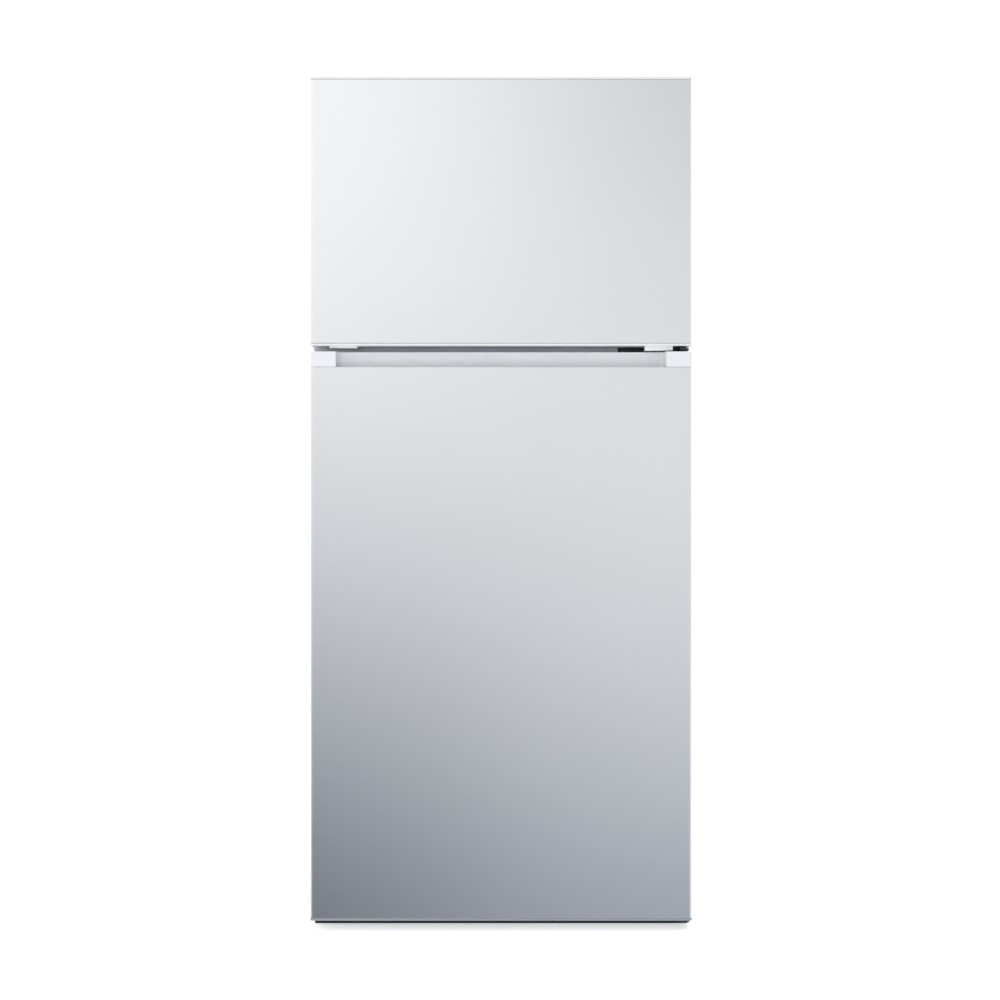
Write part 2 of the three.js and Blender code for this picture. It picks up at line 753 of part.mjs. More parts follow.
const spacerLength = DEPTH / 2 - CABINET_BACK - 1.5 - GAP;
for (const [name, x] of [['rear_spacer_left', -300], ['rear_spacer_right', 300]]) {
  const spacer = new THREE.CylinderGeometry(14, 19, spacerLength, 20);
  bay.add(part(name, spacer, blackPlastic, [x, DEPTH / 2 - spacerLength / 2, 1500]));
}

const interior = assembly(
  part('freezer_shelf', freezerShelf(), glass),
  part('evaporator_cover', evaporatorCover(), linerPlastic),
  part('evaporator', evaporator(), aluminium),
  part('evaporator_fan', evaporatorFan(), blackPlastic, [0, FAN_Y, FAN_Z]),
  part('air_duct_cover', airDuctCover(), linerPlastic),
  part('control_housing', controlHousing(), linerPlastic),
  part('temperature_knob', temperatureKnob(), capPlastic, [KNOB_X, CONTROL.front, CONTROL.axisZ]),
  part('airflow_slider', airflowSlider(), capPlastic, [SLIDER_X, CONTROL.front, CONTROL.axisZ]),
  part('lamp_lens', lampLens(), clearPlastic),
  part('door_switch_housing', doorSwitchHousing(), linerPlastic),
  part('door_switch_plunger', doorSwitchPlunger(), capPlastic),
  part('crisper_cover_frame', shelfFrame(CRISPER_LEVEL, true), linerPlastic),
  part('crisper_cover_glass', shelfGlass(CRISPER_LEVEL), glass),
);

SHELF_LEVELS.forEach((level, i) => {
  interior.add(
    part(`shelf_frame_${i + 1}`, shelfFrame(level), linerPlastic),
    part(`shelf_glass_${i + 1}`, shelfGlass(level), glass),
  );
});

for (const [side, sign] of [['left', -1], ['right', 1]]) {
  interior.add(part(`crisper_drawer_${side}`, crisperDrawer(), clearPlastic, [sign * 161, 0, 0]));
}

const feet = new THREE.Group();
for (const [side, sign] of [['left', -1], ['right', 1]]) {
  feet.add(
    part(`front_foot_${side}`, levellingFoot(), blackPlastic, [sign * FOOT_X, FOOT_Y, 0]),
    part(`rear_roller_${side}`, rearRoller(), blackPlastic, [sign * ROLLER_X, ROLLER_Y, ROLLER_RADIUS]),
  );
}

const freezerPlug = CAP_PLUG - 4;
const freezerDoor = assembly(
  part('freezer_door_skin', doorSkin(FREEZER_DOOR), satinSteel),
  part('freezer_door_top_cap', freezerTopCap(), capPlastic),
  part('freezer_door_bottom_cap', freezerBottomCap(), capPlastic),
  part('freezer_door_foam',
    doorFoam([FREEZER_DOOR.skin[0] + freezerPlug, FREEZER_DOOR.skin[1] - CAP_PLUG]), foam),
  part('freezer_door_liner', doorLiner(FREEZER_DOOR.skin, [1180, 1608], FREEZER_BINS), linerPlastic),
  part('freezer_door_gasket', gasket([1156, 1633]), rubber),
  ...bins('freezer_door', FREEZER_BINS),
);

const fridgeDoor = assembly(
  part('fridge_door_skin', doorSkin(FRIDGE_DOOR), satinSteel),
  part('fridge_door_top_cap', fridgeTopCap(), capPlastic),
  part('fridge_door_bottom_cap', fridgeBottomCap(), greyCapPlastic),
  part('fridge_door_foam', doorFoam([FRIDGE_DOOR.skin[0] + CAP_PLUG, GRIP.plug]), foam),
  part('fridge_door_liner', doorLiner(FRIDGE_DOOR.skin, [95, 1107], FRIDGE_BINS), linerPlastic),
  part('fridge_door_gasket', gasket([70, 1132]), rubber),
  ...bins('fridge_door', FRIDGE_BINS),
);

const refrigerator = assembly(cabinet, bay, interior, feet, freezerDoor, fridgeDoor);

export default refrigerator;
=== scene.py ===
# %% [markdown]
# # A refrigerator with its freezer on top
#
# The finished looks of a two-door refrigerator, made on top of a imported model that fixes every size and
# joint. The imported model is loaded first. Its pieces say where things are, and nothing here moves them: a
# piece either gets a better finish, or a more finely shaped piece takes its place.

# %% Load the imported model
import json
import math

import bmesh
import bpy
from mathutils import Matrix, Vector

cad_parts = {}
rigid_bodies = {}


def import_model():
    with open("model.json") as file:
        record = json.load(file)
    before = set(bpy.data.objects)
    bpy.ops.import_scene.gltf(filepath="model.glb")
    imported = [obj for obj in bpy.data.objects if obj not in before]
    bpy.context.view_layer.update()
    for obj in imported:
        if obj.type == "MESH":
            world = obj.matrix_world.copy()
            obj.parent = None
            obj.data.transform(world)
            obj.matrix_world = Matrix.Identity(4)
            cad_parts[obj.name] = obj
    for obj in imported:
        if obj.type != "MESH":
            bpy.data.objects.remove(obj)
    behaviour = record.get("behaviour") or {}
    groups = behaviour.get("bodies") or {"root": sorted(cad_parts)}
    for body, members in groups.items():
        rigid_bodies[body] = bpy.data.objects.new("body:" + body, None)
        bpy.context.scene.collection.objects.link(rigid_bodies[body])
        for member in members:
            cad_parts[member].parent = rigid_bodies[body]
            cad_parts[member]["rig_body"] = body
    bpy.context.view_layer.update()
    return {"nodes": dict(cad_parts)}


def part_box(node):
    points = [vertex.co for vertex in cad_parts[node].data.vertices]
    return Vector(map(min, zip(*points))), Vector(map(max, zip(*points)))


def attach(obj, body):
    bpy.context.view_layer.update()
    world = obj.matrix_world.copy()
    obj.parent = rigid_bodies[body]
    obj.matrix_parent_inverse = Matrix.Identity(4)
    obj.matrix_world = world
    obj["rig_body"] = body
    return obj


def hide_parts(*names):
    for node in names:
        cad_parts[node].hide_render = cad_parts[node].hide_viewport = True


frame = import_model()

MM = 0.001

# %% [markdown]
# ## The camera
#
# The refrigerator is looked at straight on from a little over four metres, with a long lens, so that its
# sides and top don't show and its upright edges stay parallel. The camera stands almost halfway up the
# doors and is level.

# %% The camera
DOOR_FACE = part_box("fridge_door_skin")[0].y
DOORS_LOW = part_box("fridge_door_bottom_cap")[0].z
DOORS_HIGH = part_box("freezer_door_top_cap")[1].z
CAMERA_DISTANCE = 4.3
CAMERA_HEIGHT = (DOORS_LOW + DOORS_HIGH) / 2 - 0.0028
CAMERA_ASIDE = -0.002
LENS = 78.82

camera_data = bpy.data.cameras.new("camera")
camera_data.lens = LENS
camera_data.sensor_width = 36
camera = bpy.data.objects.new("camera", camera_data)
camera.location = (CAMERA_ASIDE, DOOR_FACE - CAMERA_DISTANCE, CAMERA_HEIGHT)
camera.rotation_euler = (math.radians(90), 0, 0)
bpy.context.scene.collection.objects.link(camera)
bpy.context.scene.camera = camera
bpy.context.scene.view_settings.view_transform = "Standard"
print("camera at", [round(v, 3) for v in camera.location])

# %% [markdown]
# ## Colours and shader nodes
#
# Colours are easiest to choose as the hex codes of a colour picker, but a shader works in linear light, so
# one function turns a code into linear values. A second one adds a node with its settings and its links,
# which keeps every finish short enough to read as a recipe.

# %% Colours and nodes
def srgb(code):
    """A hex colour as linear red, green, blue and alpha."""
    values = [int(code[i:i + 2], 16) / 255 for i in (1, 3, 5)]
    return [v / 12.92 if v <= 0.04045 else ((v + 0.055) / 1.055) ** 2.4 for v in values] + [1.0]


def add_node(tree, kind, inputs=None, stops=None, **settings):
    """Adds a node. Inputs are values or other nodes' sockets, and stops are the (place, colour) of a ramp."""
    made = tree.nodes.new(kind)
    for name, value in settings.items():
        setattr(made, name, value)
    for socket, value in (inputs or {}).items():
        if isinstance(value, bpy.types.NodeSocket):
            tree.links.new(value, made.inputs[socket])
        else:
            made.inputs[socket].default_value = value
    for i, (place, code) in enumerate(stops or []):
        element = made.color_ramp.elements[i] if i < 2 else made.color_ramp.elements.new(1.0)
        element.position = place
        element.color = srgb(code)
    return made


# %% [markdown]
# ## The studio
#
# Satin steel shows what is around it, blurred. Its look is made by the room: a bright wall behind the
# camera that is lightest at the upper left, falls to a dark band near the floor, and is pale again below
# it. A world whose colour depends on the direction does this without any wall to build. Two ramps give the
# left and the right of that wall from low to high, and a third value blends them. Past the wall's ends
# there is a bright side at the left and a slightly dimmer side at the right, which the folded edges of the
# doors pick up. Overhead is darker, which draws the thin line along each door's upper hem, and behind the
# refrigerator it is pale. Seen directly, the backdrop is plain white paper from every side.

# %% The world
WALL_RAMP_REACH = 0.5
STEEL_TONE = "#e6e7e8"
WALL_GAIN = 1.06
LEFT_WALL = [
    (-0.5, "#c9ccd0"), (-0.34, "#868b94"), (-0.25, "#020305"), (-0.19, "#2b313b"), (-0.114, "#888c96"),
    (-0.046, "#b8bbc1"), (0.0, "#d0d2d4"), (0.046, "#e3e4e5"), (0.08, "#f0f1f2"), (0.19, "#f5f5f6")]
RIGHT_WALL = [
    (-0.5, "#d2d4d7"), (-0.34, "#9ca1a9"), (-0.25, "#6f757f"), (-0.19, "#9197a0"), (-0.114, "#bfc2c9"),
    (-0.046, "#d5d7d9"), (0.0, "#dcdcdc"), (0.08, "#d8d9da"), (0.15, "#c6c8ca"), (0.3, "#acafb3")]
LIGHT_SIDE = [(-0.5, "#e4e5e7"), (-0.3, "#8d929a"), (-0.1, "#c6c9cd"), (0.1, "#f2f3f3"), (0.5, "#ffffff")]
SHADE_SIDE = [(-0.5, "#d8dadd"), (-0.2, "#c9ccd0"), (0.1, "#dee0e2"), (0.5, "#aeb1b5")]


def ramp_stops(wall):
    return [((place + WALL_RAMP_REACH) / (2 * WALL_RAMP_REACH), code) for place, code in wall]


def studio_world():
    world = bpy.data.worlds.new("studio")
    bpy.context.scene.world = world
    world.use_nodes = True
    tree = world.node_tree
    background = tree.nodes["Background"]
    direction = add_node(tree, "ShaderNodeTexCoord").outputs["Generated"]
    axes = add_node(tree, "ShaderNodeSeparateXYZ", {0: direction})
    height = add_node(tree, "ShaderNodeMapRange", {
        "Value": axes.outputs["Z"], "From Min": -WALL_RAMP_REACH, "From Max": WALL_RAMP_REACH})
    left = add_node(tree, "ShaderNodeValToRGB", {0: height.outputs[0]}, ramp_stops(LEFT_WALL))
    right = add_node(tree, "ShaderNodeValToRGB", {0: height.outputs[0]}, ramp_stops(RIGHT_WALL))
    lean = add_node(tree, "ShaderNodeMath", {0: axes.outputs["Z"], 1: -0.12, 2: axes.outputs["X"]},
                    operation="MULTIPLY_ADD")
    across = add_node(tree, "ShaderNodeMapRange", {
        "Value": lean.outputs[0], "From Min": -0.08, "From Max": 0.06})
    wall = add_node(tree, "ShaderNodeMix", {
        0: across.outputs[0], 6: left.outputs[0], 7: right.outputs[0]}, data_type="RGBA")
    shade = add_node(tree, "ShaderNodeValToRGB", {0: height.outputs[0]}, ramp_stops(SHADE_SIDE))
    light = add_node(tree, "ShaderNodeValToRGB", {0: height.outputs[0]}, ramp_stops(LIGHT_SIDE))
    whole = wall.outputs[2]
    for axis, near, far, colour in (("X", 0.22, 0.5, shade.outputs[0]), ("X", -0.22, -0.5, light.outputs[0]),
                                    ("Z", 0.4, 0.85, srgb("#9b9ea2")), ("Y", -0.3, 0.2, srgb("#e6e7e8"))):
        turn = add_node(tree, "ShaderNodeMapRange", {
            "Value": axes.outputs[axis], "From Min": near, "From Max": far}, interpolation_type="SMOOTHSTEP")
        whole = add_node(tree, "ShaderNodeMix", {0: turn.outputs[0], 6: whole, 7: colour},
                         data_type="RGBA").outputs[2]
    paper = add_node(tree, "ShaderNodeLightPath").outputs["Is Camera Ray"]
    seen = add_node(tree, "ShaderNodeMix", {
        0: paper, 6: whole, 7: srgb("#ffffff")}, data_type="RGBA")
    tree.links.new(seen.outputs[2], background.inputs["Color"])
    background.inputs["Strength"].default_value = WALL_GAIN / srgb(STEEL_TONE)[1]
    return world


print("world:", studio_world().name)

# %% [markdown]
# The floor is a pale sheet that glows a little, like a lit table, so that shadows on it stay soft. It is
# kept out of the steel's reflections, so that the foot of the lower door shows the dim end of the wall. Two
# broad lights fill the pale plastic, and a smaller one, a little to the left and nearly level with the gap
# between the doors, reaches into it.

# %% The floor and the lights
def studio_floor():
    tiles = bmesh.new()
    bmesh.ops.create_grid(tiles, x_segments=1, y_segments=1, size=6)
    mesh = bpy.data.meshes.new("floor")
    tiles.to_mesh(mesh)
    tiles.free()
    floor = bpy.data.objects.new("floor", mesh)
    bpy.context.scene.collection.objects.link(floor)
    floor.visible_glossy = False
    material = bpy.data.materials.new("pale_studio_floor")
    material.use_nodes = True
    shader = material.node_tree.nodes["Principled BSDF"]
    shader.inputs["Base Color"].default_value = srgb("#f4f4f4")
    shader.inputs["Roughness"].default_value = 0.7
    shader.inputs["Specular IOR Level"].default_value = 0.2
    shader.inputs["Emission Color"].default_value = srgb("#ffffff")
    shader.inputs["Emission Strength"].default_value = 0.5
    mesh.materials.append(material)
    return floor


def soft_light(name, place, aim, size, power):
    data = bpy.data.lights.new(name, "AREA")
    data.shape = "RECTANGLE"
    data.size, data.size_y = size
    data.energy = power
    light = bpy.data.objects.new(name, data)
    light.location = place
    light.rotation_euler = (Vector(aim) - Vector(place)).to_track_quat("-Z", "Y").to_euler()
    light.visible_glossy = False
    bpy.context.scene.collection.objects.link(light)
    return light


studio_floor()
soft_light("key", (-2.4, -3.2, 3.4), (0, 0, 0.9), (2.2, 2.2), 10)
soft_light("fill", (-0.8, DOOR_FACE - 4.2, 1.05), (0, 0, 1.15), (0.9, 0.45), 24)
soft_light("top", (0.6, 0.4, 4.2), (0, 0, 0), (3.0, 3.0), 16)
print("floor and three lights")

# %% [markdown]
# ## Finishes
#
# Every finish below starts from one surface recipe. Two close tones wander over the piece, because no sheet
# or moulding is one flat colour. A fine pattern raises the surface by a few hundredths of a millimetre, and
# the same pattern varies the gloss. What differs is the pattern, its size in millimetres, and the shader's
# values for the real material.

# %% The surface recipe
def per_metre(millimetres):
    """The scale of a pattern whose cells are this wide."""
    return 1 / (millimetres * MM)


def surface(name, tones, roughness, grain, depth, stretch=(1, 1, 1), cloud=160,
            pattern="ShaderNodeTexNoise", output=0, **sockets):
    """A finish of two tones, with a pattern of one grain size and depth, both in millimetres."""
    material = bpy.data.materials.new(name)
    material.use_nodes = True
    tree = material.node_tree
    shader = tree.nodes["Principled BSDF"]
    for socket, value in sockets.items():
        shader.inputs[socket.replace("_", " ")].default_value = value
    place = add_node(tree, "ShaderNodeTexCoord").outputs["Object"]
    laid = add_node(tree, "ShaderNodeMapping", {"Vector": place, "Scale": stretch})
    clouds = add_node(tree, "ShaderNodeTexNoise", {"Vector": place, "Scale": per_metre(cloud), "Detail": 3.0})
    fine = add_node(tree, pattern, {"Vector": laid.outputs[0], "Scale": per_metre(grain)})
    both = add_node(
        tree, "ShaderNodeMath", {0: clouds.outputs[0], 1: fine.outputs[output]}, operation="MULTIPLY")
    blend = add_node(
        tree, "ShaderNodeMapRange", {"Value": both.outputs[0], "From Min": 0.05, "From Max": 0.45})
    tone = add_node(tree, "ShaderNodeMix", {
        0: blend.outputs[0], 6: srgb(tones[0]), 7: srgb(tones[1])}, data_type="RGBA")
    gloss = add_node(tree, "ShaderNodeMapRange", {
        "Value": fine.outputs[output], "To Min": roughness[0], "To Max": roughness[1]})
    raised = add_node(tree, "ShaderNodeBump", {
        "Height": fine.outputs[output], "Distance": depth * MM, "Strength": 1.0})
    tree.links.new(tone.outputs[2], shader.inputs["Base Color"])
    tree.links.new(gloss.outputs[0], shader.inputs["Roughness"])
    tree.links.new(raised.outputs[0], shader.inputs["Normal"])
    return material


# %% [markdown]
# The door fronts are stainless steel with a fine grain rolled across it, sealed under a clear lacquer. The
# grain is a few hundredths of a millimetre, far finer than shows, so it is drawn about a millimetre apart
# and hardly darker than the steel. The eye gets a soft, even sheen and no sharp reflection.

# %% Metal finishes
satin_steel = surface(
    "lacquered_satin_stainless_steel", ("#e4e5e6", "#e8e9ea"), (0.17, 0.2), 0.9, 0.0006,
    stretch=(0.015, 0.015, 1), cloud=420, Metallic=1.0, Coat_Weight=0.2, Coat_Roughness=0.12)

# The cabinet's sides and top are prepainted steel with an embossed hide-like grain: a satin grey that hides
# finger marks. The cells are 1.6 mm.
painted_steel = surface(
    "embossed_platinum_painted_steel", ("#b0b5ba", "#bdc1c5"), (0.36, 0.5), 1.6, 0.05, cloud=300,
    pattern="ShaderNodeTexVoronoi", IOR=1.5)

# Hot-dip galvanised sheet has flower-like crystals, about 12 mm here, each at its own grey and gloss.
galvanised_steel = surface(
    "galvanised_sheet_steel", ("#a4a9ad", "#b6babd"), (0.34, 0.48), 12, 0.002, cloud=240,
    pattern="ShaderNodeTexVoronoi", output=1, Metallic=1.0)

# Powder coat on the hinges: nearly black, with the pebbled skin of melted powder, 0.8 mm across.
black_powder_coat = surface(
    "black_powder_coated_steel", ("#2b2f3b", "#393d4a"), (0.38, 0.55), 0.8, 0.02, cloud=40, IOR=1.5)

# Stoved enamel on the compressor: a wet black gloss with broad orange peel, 4 mm across.
black_enamel = surface(
    "black_stoved_enamel", ("#0f1012", "#17181b"), (0.18, 0.3), 4, 0.03, cloud=60, IOR=1.52)

# Zinc-plated screws and pins: bright, a little yellow, with drawn lines.
zinc_plate = surface(
    "zinc_plated_steel", ("#aeb0ab", "#c9cac6"), (0.25, 0.4), 0.6, 0.01, cloud=9, Metallic=1.0)

# Mill-finish aluminium on the evaporator: soft grey, with rolling lines along the fins.
mill_aluminium = surface(
    "mill_finish_aluminium", ("#b9bcbd", "#d2d4d5"), (0.3, 0.48), 1.2, 0.01, stretch=(1, 1, 0.05), cloud=50,
    Metallic=1.0)

# Drawn copper tube, which has darkened unevenly.
drawn_copper = surface(
    "drawn_copper_tube", ("#8f4f33", "#c98460"), (0.22, 0.42), 2.5, 0.01, cloud=22, Metallic=1.0)
print("metal finishes ready")

# %% [markdown]
# Plastics are mouldings. Their skin is the mould's own: sparked steel gives a fine matt grain, and polished
# steel a gloss that waves a little where the sheet was drawn out. They don't conduct, so their reflections
# are white and weak, with an index near 1.5.

# %% Plastic and rubber finishes
# Door end caps in ABS, a cool white with a 0.7 mm matt grain.
cap_abs = surface(
    "moulded_white_abs", ("#d5d6d9", "#dedfe1"), (0.36, 0.46), 0.7, 0.012, cloud=120, IOR=1.54)

# The lowest cap is the same moulding in a darker grey: painted shade, which blends it with the dim
# foot of the door.
shaded_grey_abs = surface(
    "moulded_abs_in_painted_shade_grey", ("#898d96", "#969aa2"), (0.36, 0.48), 0.7, 0.012, cloud=120, IOR=1.54)

# Vacuum-formed polystyrene liners, white and glossy, with the slow waves of a stretched sheet, 14 mm apart.
liner_polystyrene = surface(
    "vacuum_formed_white_polystyrene", ("#e4e7e8", "#edeff0"), (0.2, 0.3), 14, 0.02, cloud=260, IOR=1.59)

# Injection-moulded white shelf rims, covers and controls.
trim_polystyrene = surface(
    "moulded_white_polystyrene", ("#e9ecee", "#f3f5f6"), (0.3, 0.4), 1.0, 0.015, cloud=90, IOR=1.59)

# Black polypropylene of the kick plate, feet and fan, with a sparked grain of 1 mm.
black_polypropylene = surface(
    "moulded_black_polypropylene", ("#121315", "#1e2023"), (0.45, 0.6), 1.0, 0.03, cloud=70, IOR=1.49)

# Clear polystyrene of bins and drawers. Faint flow waves, 30 mm apart, bend what is seen through it.
clear_polystyrene = surface(
    "clear_moulded_polystyrene", ("#eef5f7", "#f7fbfc"), (0.03, 0.08), 30, 0.04, cloud=200, IOR=1.59,
    Transmission_Weight=0.78)

# Frosted polystyrene of the lamp lens, which spreads the lamp's light.
frosted_polystyrene = surface(
    "frosted_moulded_polystyrene", ("#eaf0f2", "#f8fbfc"), (0.35, 0.5), 2.0, 0.05, cloud=60, IOR=1.59,
    Transmission_Weight=0.6)

# Toughened glass, clear on its faces and green where its edge gathers the light of the whole sheet.
shelf_glass = surface(
    "toughened_float_glass", ("#eff9f5", "#f8fdfb"), (0.0, 0.04), 60, 0.004, cloud=140, IOR=1.52,
    Transmission_Weight=0.95)
glass_edge = surface(
    "ground_glass_edge", ("#5f9c87", "#8fc4b1"), (0.12, 0.3), 1.5, 0.02, cloud=40, IOR=1.52,
    Transmission_Weight=0.35)

# Rigid polyurethane foam, cream, with closed cells drawn 3 mm wide so that they show.
rigid_foam = surface(
    "rigid_polyurethane_foam", ("#d9c98f", "#efe3b8"), (0.85, 0.98), 3, 0.5, cloud=45,
    pattern="ShaderNodeTexVoronoi", IOR=1.5)

# Door seals in soft vinyl: pale grey, waxy, with a faint bloom.
seal_vinyl = surface(
    "extruded_grey_vinyl", ("#a9adb0", "#b9bdc0"), (0.48, 0.62), 1.4, 0.02, cloud=35, IOR=1.53)

# Black rubber of the grommets and the supply gland, dusty and matt.
black_rubber = surface(
    "moulded_black_rubber", ("#161617", "#262628"), (0.68, 0.85), 1.6, 0.04, cloud=30, IOR=1.52)
print("finishes:", len(bpy.data.materials))

# %% [markdown]
# ## Shaping helpers
#
# Most pieces are boxes, turned shapes and rectangular rings, with their edges rounded. A box starts as a cube
# that is scaled to its corners, and a turned piece is an outline spun about an axis. Rounding comes last and
# depends on the piece: a folded sheet has millimetres of bend, and a moulding has less than one.

# %% Boxes
def block(shape, low, high):
    """Adds a box between two corners and returns its vertices."""
    low = Vector(low)
    high = Vector(high)
    made = bmesh.ops.create_cube(shape, size=1)["verts"]
    bmesh.ops.scale(shape, vec=high - low, verts=made)
    bmesh.ops.translate(shape, vec=(low + high) / 2, verts=made)
    shape.normal_update()
    return made


def between(low, high, **fixed):
    """The point midway between two corners, with x, y or z fixed where a value is given."""
    point = (low + high) / 2
    for axis, value in fixed.items():
        setattr(point, axis, value)
    return point


def edges_along(verts, axis=None):
    """The edges at these vertices: all of them, or only the ones that run along one axis."""
    edges = list(dict.fromkeys(edge for vert in verts for edge in vert.link_edges))
    if axis is None:
        return edges
    return [e for e in edges if abs(direction_of(e)[axis]) > 0.99]


def round_edges(shape, edges, radius, segments=3):
    bmesh.ops.bevel(
        shape, geom=list(edges), offset=radius, offset_type="OFFSET", segments=segments, profile=0.5,
        affect="EDGES", material=-1, clamp_overlap=True)
    shape.normal_update()


def rounded_block(shape, low, high, radius, axis=None, segments=3):
    round_edges(shape, edges_along(block(shape, low, high), axis), radius, segments)


def block_about(shape, centre, low, high, radius, axis=None, segments=3):
    """A rounded block whose two corners are given in millimetres from a centre."""
    rounded_block(shape, centre + Vector(low) * MM, centre + Vector(high) * MM, radius, axis, segments)


def edges_sharper_than(shape, degrees, test=None):
    """The edges where two faces meet at more than this angle, or only those that pass a test."""
    limit = math.radians(degrees)
    sharp = [e for e in shape.edges if len(e.link_faces) == 2 and e.calc_face_angle(0) > limit]
    return [e for e in sharp if test is None or test(e)]


def direction_of(edge):
    return (edge.verts[0].co - edge.verts[1].co).normalized()


def faces_towards(shape, direction):
    """The faces that look one way."""
    shape.normal_update()
    return [face for face in shape.faces if face.normal.dot(Vector(direction)) > 0.9]


# %% Turned shapes, rings and tubes
ALONG_Y = Matrix.Rotation(math.radians(-90), 4, "X")
ALONG_X = Matrix.Rotation(math.radians(90), 4, "Y")


def turned(shape, profile, at=(0, 0, 0), turn=Matrix(), steps=40):
    """Spins (radius, height) points, given in millimetres, about an axis through a place."""
    before = set(shape.verts)
    chain = [shape.verts.new((radius * MM, 0, height * MM)) for radius, height in profile]
    links = [shape.edges.new(pair) for pair in zip(chain, chain[1:])]
    bmesh.ops.spin(
        shape, geom=chain + links, cent=(0, 0, 0), axis=(0, 0, 1), angle=math.tau, steps=steps,
        use_merge=True)
    made = [vert for vert in shape.verts if vert not in before]
    bmesh.ops.remove_doubles(shape, verts=made, dist=1e-6)
    made = [vert for vert in shape.verts if vert not in before]
    bmesh.ops.recalc_face_normals(shape, faces=list({face for vert in made for face in vert.link_faces}))
    bmesh.ops.transform(shape, matrix=Matrix.Translation(at) @ turn, verts=made)
    return made


def rectangle(shape, low, high, inset, depth, axis=1):
    """Four edges round a rectangle, inset from two corners, at one depth along Y (1) or Z (2)."""
    other = 3 - axis
    spans = [(low[0] + inset, high[0] - inset), (low[other] + inset, high[other] - inset)]
    corners = [(spans[0][i], spans[1][j]) for i, j in ((0, 0), (1, 0), (1, 1), (0, 1))]
    places = [(a, depth, b) if axis == 1 else (a, b, depth) for a, b in corners]
    verts = [shape.verts.new(place) for place in places]
    return [shape.edges.new((verts[i - 1], verts[i])) for i in range(4)]


def bridge(shape, loops, closed=False):
    pairs = list(zip(loops, loops[1:] + loops[:1])) if closed else list(zip(loops, loops[1:]))
    for first, second in pairs:
        bmesh.ops.bridge_loops(shape, edges=first + second)


def tube(shape, points, radius, bend):
    """Adds a round tube through points in millimetres, with its corners bent."""
    curve = bpy.data.curves.new("route", "CURVE")
    curve.dimensions = "3D"
    curve.bevel_depth = radius * MM
    curve.bevel_resolution = 2
    curve.use_fill_caps = True
    stops = [Vector(point) * MM for point in points]
    route = [stops[0]]
    for before, corner, after in zip(stops, stops[1:], stops[2:]):
        route.append(corner + (before - corner).normalized() * bend * MM)
        route.append(corner)
        route.append(corner + (after - corner).normalized() * bend * MM)
    route.append(stops[-1])
    spline = curve.splines.new("NURBS")
    spline.points.add(len(route) - 1)
    for point, place in zip(spline.points, route):
        point.co = (*place, 1)
    spline.order_u = 3
    spline.use_endpoint_u = True
    spline.resolution_u = 4
    holder = bpy.data.objects.new("route", curve)
    bpy.context.scene.collection.objects.link(holder)
    bpy.context.view_layer.update()
    mesh = bpy.data.meshes.new_from_object(holder)
    shape.from_mesh(mesh)
    bpy.data.meshes.remove(mesh)
    bpy.data.objects.remove(holder)
    bpy.data.curves.remove(curve)


# %% [markdown]
# A shape becomes a piece when it has a name, a finish, and a body to ride on. Smooth shading with hard
# edges kept suits both flat sheet and round bar. Live modifiers then give sheet its thickness and round off
# what is left sharp, because a perfectly sharp edge never catches the light as a real one does. Clear
# pieces cast no shadow, since light passes through them.

# %% Pieces
def new_piece(name, shape, finish, body, slot, stands_for=(), sheet=0.0, edge=0.0):
    """Makes the finished object. Sheet is a wall's thickness and edge a rounding, both in millimetres."""
    mesh = bpy.data.meshes.new(name)
    shape.to_mesh(mesh)
    shape.free()
    for material in finish if isinstance(finish, (list, tuple)) else [finish]:
        mesh.materials.append(material)
    mesh.shade_smooth()
    mesh.set_sharp_from_angle(angle=math.radians(35))
    piece = bpy.data.objects.new(name, mesh)
    bpy.context.scene.collection.objects.link(piece)
    if sheet:
        wall = piece.modifiers.new("sheet", "SOLIDIFY")
        wall.thickness = sheet * MM
        wall.offset = -1
    if edge:
        rounding = piece.modifiers.new("edges", "BEVEL")
        rounding.width = edge * MM
        rounding.segments = 2
        rounding.angle_limit = math.radians(35)
    piece.modifiers.new("shading", "WEIGHTED_NORMAL").keep_sharp = not edge
    piece.visible_shadow = slot not in ("clear_plastic", "shelf_glass")
    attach(piece, body)
    if stands_for:
        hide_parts(*stands_for)
    return piece


def refined(node, name, finish, slot, edge, extras=None):
    """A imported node's own shape, merged and with its edges rounded, plus whatever extras adds to it."""
    shape = bmesh.new()
    shape.from_mesh(frame["nodes"][node].data)
    for face in shape.faces:
        face.material_index = 0
    bmesh.ops.remove_doubles(shape, verts=shape.verts, dist=1e-6)
    bmesh.ops.dissolve_limit(shape, angle_limit=math.radians(1), verts=shape.verts, edges=shape.edges)
    if extras:
        extras(shape)
    return new_piece(name, shape, finish, frame["nodes"][node]["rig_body"], slot, [node], edge=edge)


def repaint(node, finish):
    """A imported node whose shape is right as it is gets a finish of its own."""
    for holder in frame["nodes"][node].material_slots:
        holder.material = finish


# %% [markdown]
# ## The doors' steel fronts
#
# Each front is one sheet, folded back along both sides over a 5 mm radius. A box without its back, top and
# bottom is that shape once its two front uprights are rounded. Its top and bottom rims are turned in by a few
# millimetres, as a hem that no finger can be cut on, and Solidify makes the sheet a millimetre thick.

# %% Door skins
DOOR_BEND = 5 * MM
HEM = 3.5 * MM
HEM_BEND = 1 * MM


